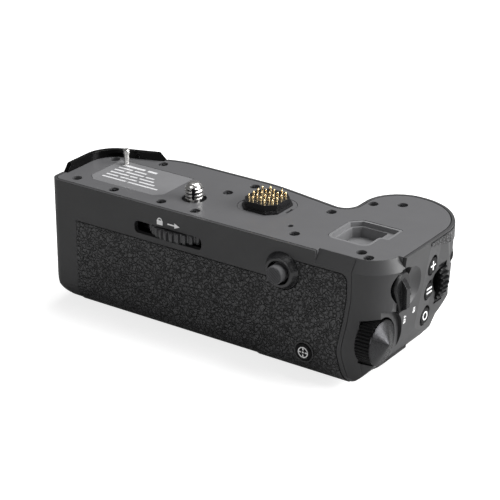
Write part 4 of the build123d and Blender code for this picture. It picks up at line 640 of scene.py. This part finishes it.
length = dial_tip - dial_start
rib_length = rib_end - dial_start
cone_rings = 40
cone_foot = rib_length + 0.68
cone_foot_radius = dial_radius - 0.25
cone_tip_radius = 0.35
cone_step = 0.022
rings = [(2.0, 0.0), (6.6, 0.0), (dial_radius - 0.3, 0.05), (dial_radius, 0.4)]
rings += [(dial_radius, rib_length - 0.35), (dial_radius - 0.3, rib_length)]
rings += [(dial_radius - 0.32, rib_length + 0.08), (dial_radius, rib_length + 0.16)]
rings += [(dial_radius, rib_length + 0.5), (cone_foot_radius, cone_foot)]
for k in range(cone_rings):
    share = (k + 1) / cone_rings
    groove = cone_step if k % 2 else 0.0
    r = cone_foot_radius * (1 - share) + cone_tip_radius * share
    rings.append((r, cone_foot + (length - cone_foot) * share - groove))
verts, faces = spun(rings, rear_ribs * 8, rib_shape)
dial_centre_low = (dial_start, dial_centre.y, dial_centre.z)
rear_dial = stand("rear_dial_ribbed", placed(verts, dial_centre_low, (1, 0, 0)), faces, spun_black, 30)
rear_dial.data.materials.append(button_black)
for polygon in rear_dial.data.polygons:
    polygon.material_index = int(polygon.center.x < rib_end * MM)
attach(rear_dial, "rear_wheel")
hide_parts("rear_dial")
print("rear dial from", round(dial_start, 2), "to", round(dial_tip, 2))

# %% [markdown]
# ## Joystick knob
# A short rubbery knob. Its flat face is cut with fine diagonal ribs so that a thumb doesn't slip. Its skirt
# flares inside the collar, 0.16 mm less than the CAD knob's, so that both tilts together leave it free.

# %% Ribbed knob
low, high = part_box("joystick_knob")
knob_centre = (low + high) / 2 / MM
knob_front = low.y / MM
knob_back = high.y / MM
knob_length = knob_back - knob_front
skirt_radius = 3.14
rib_angle = 0.9
rib_depth = 0.24
rib_pitch = 0.8


def knob_shape(radius, height, angle):
    if height < knob_length - 0.3 or radius > 2.75:
        return radius, height
    across = radius * math.cos(angle - rib_angle)
    return radius, height + rib_depth * math.cos(across * math.tau / rib_pitch)


rings = [(2.9, 0.0), (3.0, 0.1), (3.0, 0.9), (skirt_radius, 2.0), (3.0, 2.06), (3.1, knob_length - 0.5)]
rings += [(3.02, knob_length - 0.2), (2.8, knob_length - 0.05)]
rings += [(2.72 - 0.09 * k, knob_length - 0.13) for k in range(30)]
verts, faces = spun(rings, 120, knob_shape)
knob_verts = placed(verts, (knob_centre.x, knob_back, knob_centre.z), (0, -1, 0))
knob = stand("joystick_knob_ribbed", knob_verts, faces, knob_rubber, 60)
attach(knob, "joystick_tip")
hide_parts("joystick_knob")
print("knob length", round(knob_length, 2), "skirt radius", skirt_radius)

# %% [markdown]
# ## Repeated pieces
# Screws and spring pins are one template each, copied to a list of points by a small Geometry Nodes tree.
# Each screw is turned by its own random angle, as screws are in real life.


# %% Geometry Nodes copier
def copier(name):
    """Tree that puts a shape on every point, turns it, and gives it a material."""
    tree = bpy.data.node_groups.new(name, "GeometryNodeTree")
    face = tree.interface
    face.new_socket("Points", in_out="INPUT", socket_type="NodeSocketGeometry")
    face.new_socket("Shape", in_out="INPUT", socket_type="NodeSocketObject")
    face.new_socket("Largest turn", in_out="INPUT", socket_type="NodeSocketFloat")
    face.new_socket("Seed", in_out="INPUT", socket_type="NodeSocketInt")
    face.new_socket("Finish", in_out="INPUT", socket_type="NodeSocketMaterial")
    face.new_socket("Copies", in_out="OUTPUT", socket_type="NodeSocketGeometry")
    made = {
        key: tree.nodes.new(kind)
        for key, kind in {
            "in": "NodeGroupInput",
            "shape": "GeometryNodeObjectInfo",
            "turn": "FunctionNodeRandomValue",
            "axis": "ShaderNodeCombineXYZ",
            "copy": "GeometryNodeInstanceOnPoints",
            "real": "GeometryNodeRealizeInstances",
            "finish": "GeometryNodeSetMaterial",
            "out": "NodeGroupOutput",
        }.items()
    }
    made["turn"].data_type = "FLOAT"
    link = tree.links.new
    link(made["in"].outputs["Shape"], made["shape"].inputs["Object"])
    link(made["in"].outputs["Largest turn"], made["turn"].inputs[3])
    link(made["in"].outputs["Seed"], made["turn"].inputs["Seed"])
    link(made["turn"].outputs[1], made["axis"].inputs["Z"])
    link(made["in"].outputs["Points"], made["copy"].inputs["Points"])
    link(made["shape"].outputs["Geometry"], made["copy"].inputs["Instance"])
    link(made["axis"].outputs[0], made["copy"].inputs["Rotation"])
    link(made["copy"].outputs["Instances"], made["real"].inputs[0])
    link(made["real"].outputs[0], made["finish"].inputs["Geometry"])
    link(made["in"].outputs["Finish"], made["finish"].inputs["Material"])
    link(made["finish"].outputs[0], made["out"].inputs[0])
    return tree


def copies(name, template, places, finish, body, replaced, largest_turn=0.0):
    """One plain mesh with the template at every place, riding on a body."""
    mesh = bpy.data.meshes.new(name)
    mesh.from_pydata([tuple(Vector(p) * MM) for p in places], [], [])
    obj = bpy.data.objects.new(name, mesh)
    bpy.context.collection.objects.link(obj)
    tree = copier(name + "_tree")
    modifier = obj.modifiers.new("copies", "NODES")
    modifier.node_group = tree
    values = {"Shape": template, "Largest turn": largest_turn, "Seed": 7, "Finish": finish}
    for item in tree.interface.items_tree:
        if item.in_out == "INPUT" and item.name in values:
            modifier[item.identifier] = values[item.name]
    depsgraph = bpy.context.evaluated_depsgraph_get()
    plain = bpy.data.meshes.new_from_object(obj.evaluated_get(depsgraph))
    obj.modifiers.clear()
    obj.data = plain
    bpy.data.objects.remove(template)
    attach(obj, body)
    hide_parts(*replaced)
    print(name, len(places), "copies,", len(plain.polygons), "faces")
    return obj


# %% [markdown]
# ## Screws
# The seating plate has ten cross-head screws, and four more sit deep in their bores. The cross is pressed
# into the head by a function of the point's place, deepest at its middle.

# %% Screws
screw_radius = 1.5
cross_depth = 0.5
cross_reach = 1.05
head_side = 0.75


def cross_shape(radius, height, angle):
    if height < head_side:
        return radius, height
    x, y = abs(radius * math.cos(angle)), abs(radius * math.sin(angle))
    arm = max(x, y)
    side = min(x, y)
    width = 0.3 - 0.07 * arm
    across_arm = min(1.0, max(0.0, (width - side) / 0.07))
    along_arm = min(1.0, max(0.0, (cross_reach - arm) / 0.12))
    inside = across_arm * along_arm
    return radius, height - cross_depth * inside * (1 - 0.35 * arm)


def screw_template(name, finish, shank):
    """One screw with its head's underside at zero."""
    rings = [(0.8, -shank), (0.8, 0.0), (screw_radius, 0.0), (screw_radius, 0.55)]
    rings += [(screw_radius - 0.12, 0.74)]
    rings += [(screw_radius - 0.18 - 0.07 * k, 0.78 + 0.012 * k ** 0.5) for k in range(20)]
    verts, faces = spun(rings, 72, cross_shape)
    return stand(name, placed(verts, (0, 0, 0), (0, 0, 1)), faces, finish)


top_screw_places = [
    (-26.88, -9.30), (-27.09, 18.69), (-7.42, -8.60), (6.58, -8.69), (6.41, 10.39), (10.91, 19.89),
    (43.90, -5.70), (44.07, 16.10), (60.48, 34.41), (73.30, -8.30),
]
deep_screw_places = [(-43.78, -8.30), (-43.88, 13.00), (51.90, 29.70), (69.31, -5.99)]
screw_floor = -1.15
deep_floor = -4.8
copies(
    "plate_screws", screw_template("plate_screw", dark_steel, 3.65),
    [(x, y, screw_floor) for x, y in top_screw_places],
    dark_steel, "grip", ["top_screws"], math.tau,
)
copies(
    "bore_screws", screw_template("bore_screw", dark_steel, 2.0),
    [(x, y, deep_floor) for x, y in deep_screw_places],
    dark_steel, "grip", ["deep_screws"], math.tau,
)

# %% [markdown]
# ## Spring pins
# Each gold pin has a barrel in the block, a thinner plunger, and a rounded point. The 22 pins stand in five
# columns, every second one shifted by half a pitch.

# %% Pins
block_middle = middle("connector_block")
pin_low, pin_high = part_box("connector_pins")
pin_foot = pin_low.z / MM
pin_tip = pin_high.z / MM
pin_rings = [(0.3, pin_foot), (0.42, pin_foot + 0.1), (0.42, 3.15), (0.36, 3.22), (0.36, pin_tip - 0.55)]
pin_rings += [(0.33, pin_tip - 0.36), (0.27, pin_tip - 0.2), (0.18, pin_tip - 0.08), (0.07, pin_tip - 0.01)]
verts, faces = spun(pin_rings, 20)
pin_template = stand("pin", placed(verts, (0, 0, 0), (0, 0, 1)), faces, gold_contact)
column_pitch = 2.32
half_row_pitch = 1.31
pin_places = []
for column in range(5):
    for row in range((column + 1) % 2, 9, 2):
        x = block_middle.x + (column - 2) * column_pitch
        y = block_middle.y + (row - 4) * half_row_pitch
        pin_places.append((x, y, 0.0))
copies(
    "spring_pins", pin_template, pin_places,
    gold_contact, "contact_pins", ["connector_pins"],
)

# %% [markdown]
# ## Printed marks
# White paint 0.02 mm thick: an arrow and a padlock at the lock wheel, ON and OFF at the lever, and plain
# signs on the buttons. The label carries only rules and bars where a real one has print.


# %% Mark helpers
def mark(name, shapes, origin, right, up, body, finish=None, thick=0.02):
    """Flat painted shapes, each a list of corners in millimetres, on the plane of right and up."""
    right = Vector(right).normalized()
    up = Vector(up).normalized()
    out = right.cross(up)
    verts, faces = [], []
    for corners in shapes:
        start = len(verts)
        count = len(corners)
        for lift in (0.0, thick):
            verts += [(Vector(origin) + right * x + up * y + out * lift) * MM for x, y in corners]
        faces.append(tuple(range(start + count, start + 2 * count)))
        faces.append(tuple(reversed(range(start, start + count))))
        faces += [
            (start + k, start + (k + 1) % count, start + count + (k + 1) % count, start + count + k)
            for k in range(count)
        ]
    obj = stand(name, verts, faces, finish or white_print)
    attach(obj, body)
    return obj


def bar(x0, y0, x1, y1):
    return [(x0, y0), (x1, y0), (x1, y1), (x0, y1)]


def ring_bars(radius, width, count=24, start=0.0, end=math.tau):
    """A ring, or part of one, as short blocks side by side."""
    shapes = []
    for k in range(count):
        a0 = start + (end - start) * k / count
        a1 = start + (end - start) * (k + 1) / count
        inner, outer = radius - width / 2, radius + width / 2
        corners = [(inner, a0), (outer, a0), (outer, a1), (inner, a1)]
        shapes.append([(r * math.cos(a), r * math.sin(a)) for r, a in corners])
    return shapes


def letters(text, size, stroke):
    """Plain block letters for ON and OFF."""
    glyphs = {
        "O": [bar(0, 0, 0.6, stroke), bar(0, 1 - stroke, 0.6, 1), bar(0, stroke, stroke, 1 - stroke)]
        + [bar(0.6 - stroke, stroke, 0.6, 1 - stroke)],
        "N": [bar(0, 0, stroke, 1), bar(0.6 - stroke, 0, 0.6, 1)]
        + [[(stroke, 1), (stroke, 1 - stroke * 1.6), (0.6 - stroke, 0), (0.6 - stroke, stroke * 1.6)]],
        "F": [bar(0, 0, stroke, 1), bar(stroke, 1 - stroke, 0.55, 1), bar(stroke, 0.42, 0.48, 0.42 + stroke)],
    }
    shapes = []
    for place_in_word, letter in enumerate(text):
        shift = place_in_word * 0.8 - len(text) * 0.4 + 0.1
        shapes += [[((x + shift) * size, (y - 0.5) * size) for x, y in shape] for shape in glyphs[letter]]
    return shapes


# %% [markdown]
# ## Marks at the lock wheel and the lever
# The rear face is flat, so the padlock and arrow lie on one plane. The end face leans, so ON and OFF take
# their place and tilt from its slope.

# %% Marks on the rear and the end
rear_plane = -13.5
arrow = [bar(0.4, -0.24, 3.2, 0.24), [(3.2, -0.95), (5.4, 0.0), (3.2, 0.95)]]
padlock = [bar(-4.0, -1.05, -1.6, 0.55)]
padlock += [[(x - 2.8, y + 0.55) for x, y in s] for s in ring_bars(0.78, 0.36, 12, 0.0, math.pi)]
mark("lock_mark", arrow + padlock, (-1.6, rear_plane, -5.0), (1, 0, 0), (0, 0, 1), "grip")

end_top = 83.3
end_slope = 4.7 / 45.0
end_lean = Vector((end_slope, 0, 1.0)).normalized()


def end_surface(z):
    return end_top + end_slope * z


for word, y, z in (("ON", 8.1, -22.4), ("OFF", 2.6, -23.6)):
    spot = (end_surface(z), y, z)
    mark(word.lower() + "_mark", letters(word, 1.35, 0.2), spot, end_lean, (0, -1, 0), "grip")
print("marks: padlock with arrow, ON, OFF")

# %% [markdown]
# ## Signs on the buttons
# The three function buttons carry a plus, two bars and a ring, and the lock button carries a crossed ring.
# Each sign rides on its button's body, so that it moves with a press.

# %% Signs on the buttons
button_signs = [
    [bar(-0.27, -1.6, 0.27, 1.6), bar(-1.6, -0.27, -0.27, 0.27), bar(0.27, -0.27, 1.6, 0.27)],
    [bar(-1.6, 0.4, 1.6, 1.0), bar(-1.6, -1.0, 1.6, -0.4)],
    ring_bars(1.3, 0.5),
]
for number, shapes in enumerate(button_signs, start=1):
    low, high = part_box(f"function_button_{number}")
    centre = (low + high) / 2 / MM
    spot = (high.x / MM, centre.y, centre.z)
    mark(f"button_sign_{number}", shapes, spot, (0, 1, 0), (0, 0, 1), f"button_{number}")
low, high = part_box("af_lock_button")
centre = (low + high) / 2 / MM
target = ring_bars(1.75, 0.36, 32) + [bar(-0.22, 0.75, 0.22, 1.5), bar(-0.22, -1.5, 0.22, -0.75)]
target += [bar(-1.5, -0.22, -0.75, 0.22), bar(0.75, -0.22, 1.5, 0.22), bar(-0.3, -0.3, 0.3, 0.3)]
mark("lock_button_sign", target, (centre.x, low.y / MM, centre.z), (1, 0, 0), (0, 0, 1), "lock_button")
print("signs on", len(button_signs) + 1, "buttons")

# %% [markdown]
# ## Bars on the label
# A real label is full of print. Rows of plain bars, each row with its own gaps, keep that look without any
# words.

# %% Rules and bars on the label
low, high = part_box("rating_label")
label_left, label_rear = low.x / MM, low.y / MM
label_top = high.z / MM
first_row = 15.6
row_pitch = 2.3
row_inset = 3.4
heading_height = 1.25
bar_height = 0.8
rows = []
bar_ends = (
    [0.0, 9.5, 10.8, 14.6],
    [0.0, 6.0, 7.0, 12.0],
    [0.0, 4.0, 5.0, 12.5, 13.5, 17.0],
    [0.0, 7.5, 8.5, 11.5, 12.5, 18.5],
    [0.0, 5.0, 6.0, 13.0, 14.0, 20.5],
    [0.0, 10.0, 11.0, 23.5],
)
for row, ends in enumerate(bar_ends):
    y = first_row - row_pitch * row
    top = y + (heading_height if row == 0 else bar_height)
    for start, end in zip(ends[0::2], ends[1::2]):
        rows.append(bar(row_inset + start, y, row_inset + end, top))
mark("label_bars", rows, (label_left, label_rear, label_top), (1, 0, 0), (0, 1, 0), "grip", label_print)
print("label with", len(rows), "bars")

# %% [markdown]
# ## Studio
# The floor is a plain pale sheet. Its own glow is seen by the camera alone, so that it turns white in the
# picture and still takes the grip's shadow.

# %% Floor
floor_level = cad_box[0].z
floor_mesh = bpy.data.meshes.new("floor")
floor_half = 3.0
corners = [(-floor_half, -floor_half), (floor_half, -floor_half)]
corners += [(floor_half, floor_half), (-floor_half, floor_half)]
floor_mesh.from_pydata([(x, y, floor_level) for x, y in corners], [], [(0, 1, 2, 3)])
floor = bpy.data.objects.new("floor", floor_mesh)
bpy.context.collection.objects.link(floor)
floor_finish = Finish("floor_white", (0.45, 0.45, 0.45), 0.9, specular=0.0)
seen = floor_finish.node("ShaderNodeLightPath", output="Is Camera Ray")
floor_finish.shader.inputs["Emission Color"].default_value = (1, 1, 1, 1)
floor_glow = 0.75
floor_finish.feed(floor_finish.shader.inputs["Emission Strength"], seen * floor_glow)
floor_mesh.materials.append(floor_finish.material)
print("floor at", round(floor_level, 4))

# %% [markdown]
# ## World and lamps
# The surround is white to the camera and dim to everything else. Three soft lamps light the grip: a wide
# one above, one at the control end, and a weak one by the camera, so that the rear stays dark.

# %% World and lamps
world = bpy.data.worlds.new("studio")
bpy.context.scene.world = world
world.use_nodes = True
world_tree = world.node_tree
background = world_tree.nodes["Background"]
path = world_tree.nodes.new("ShaderNodeLightPath")
pick = world_tree.nodes.new("ShaderNodeMix")
pick.data_type = "FLOAT"
world_tree.links.new(path.outputs["Is Camera Ray"], pick.inputs[0])
surround_light = 0.12
surround_seen = 1.0
pick.inputs[2].default_value = surround_light
pick.inputs[3].default_value = surround_seen
world_tree.links.new(pick.outputs[0], background.inputs["Strength"])
background.inputs["Color"].default_value = (1, 1, 1, 1)


def soft_lamp(name, place, aim, size, power):
    data = bpy.data.lights.new(name, "AREA")
    data.shape = "RECTANGLE"
    data.size, data.size_y = size
    data.energy = power
    lamp = bpy.data.objects.new(name, data)
    bpy.context.collection.objects.link(lamp)
    lamp.location = place
    lamp.rotation_mode = "QUATERNION"
    lamp.rotation_quaternion = (Vector(place) - Vector(aim)).to_track_quat("Z", "Y")
    print(name, power, "W")


soft_lamp("lamp_top", (0.15, 0.35, 0.9), (0.02, 0.0, 0.0), (0.9, 0.6), 15.0)
soft_lamp("lamp_end", (0.9, 0.35, 0.3), (0.05, 0.0, 0.0), (0.6, 0.5), 16.0)
soft_lamp("lamp_camera", (-0.1, -0.9, 0.35), (0.0, 0.0, 0.0), (0.7, 0.5), 2.6)
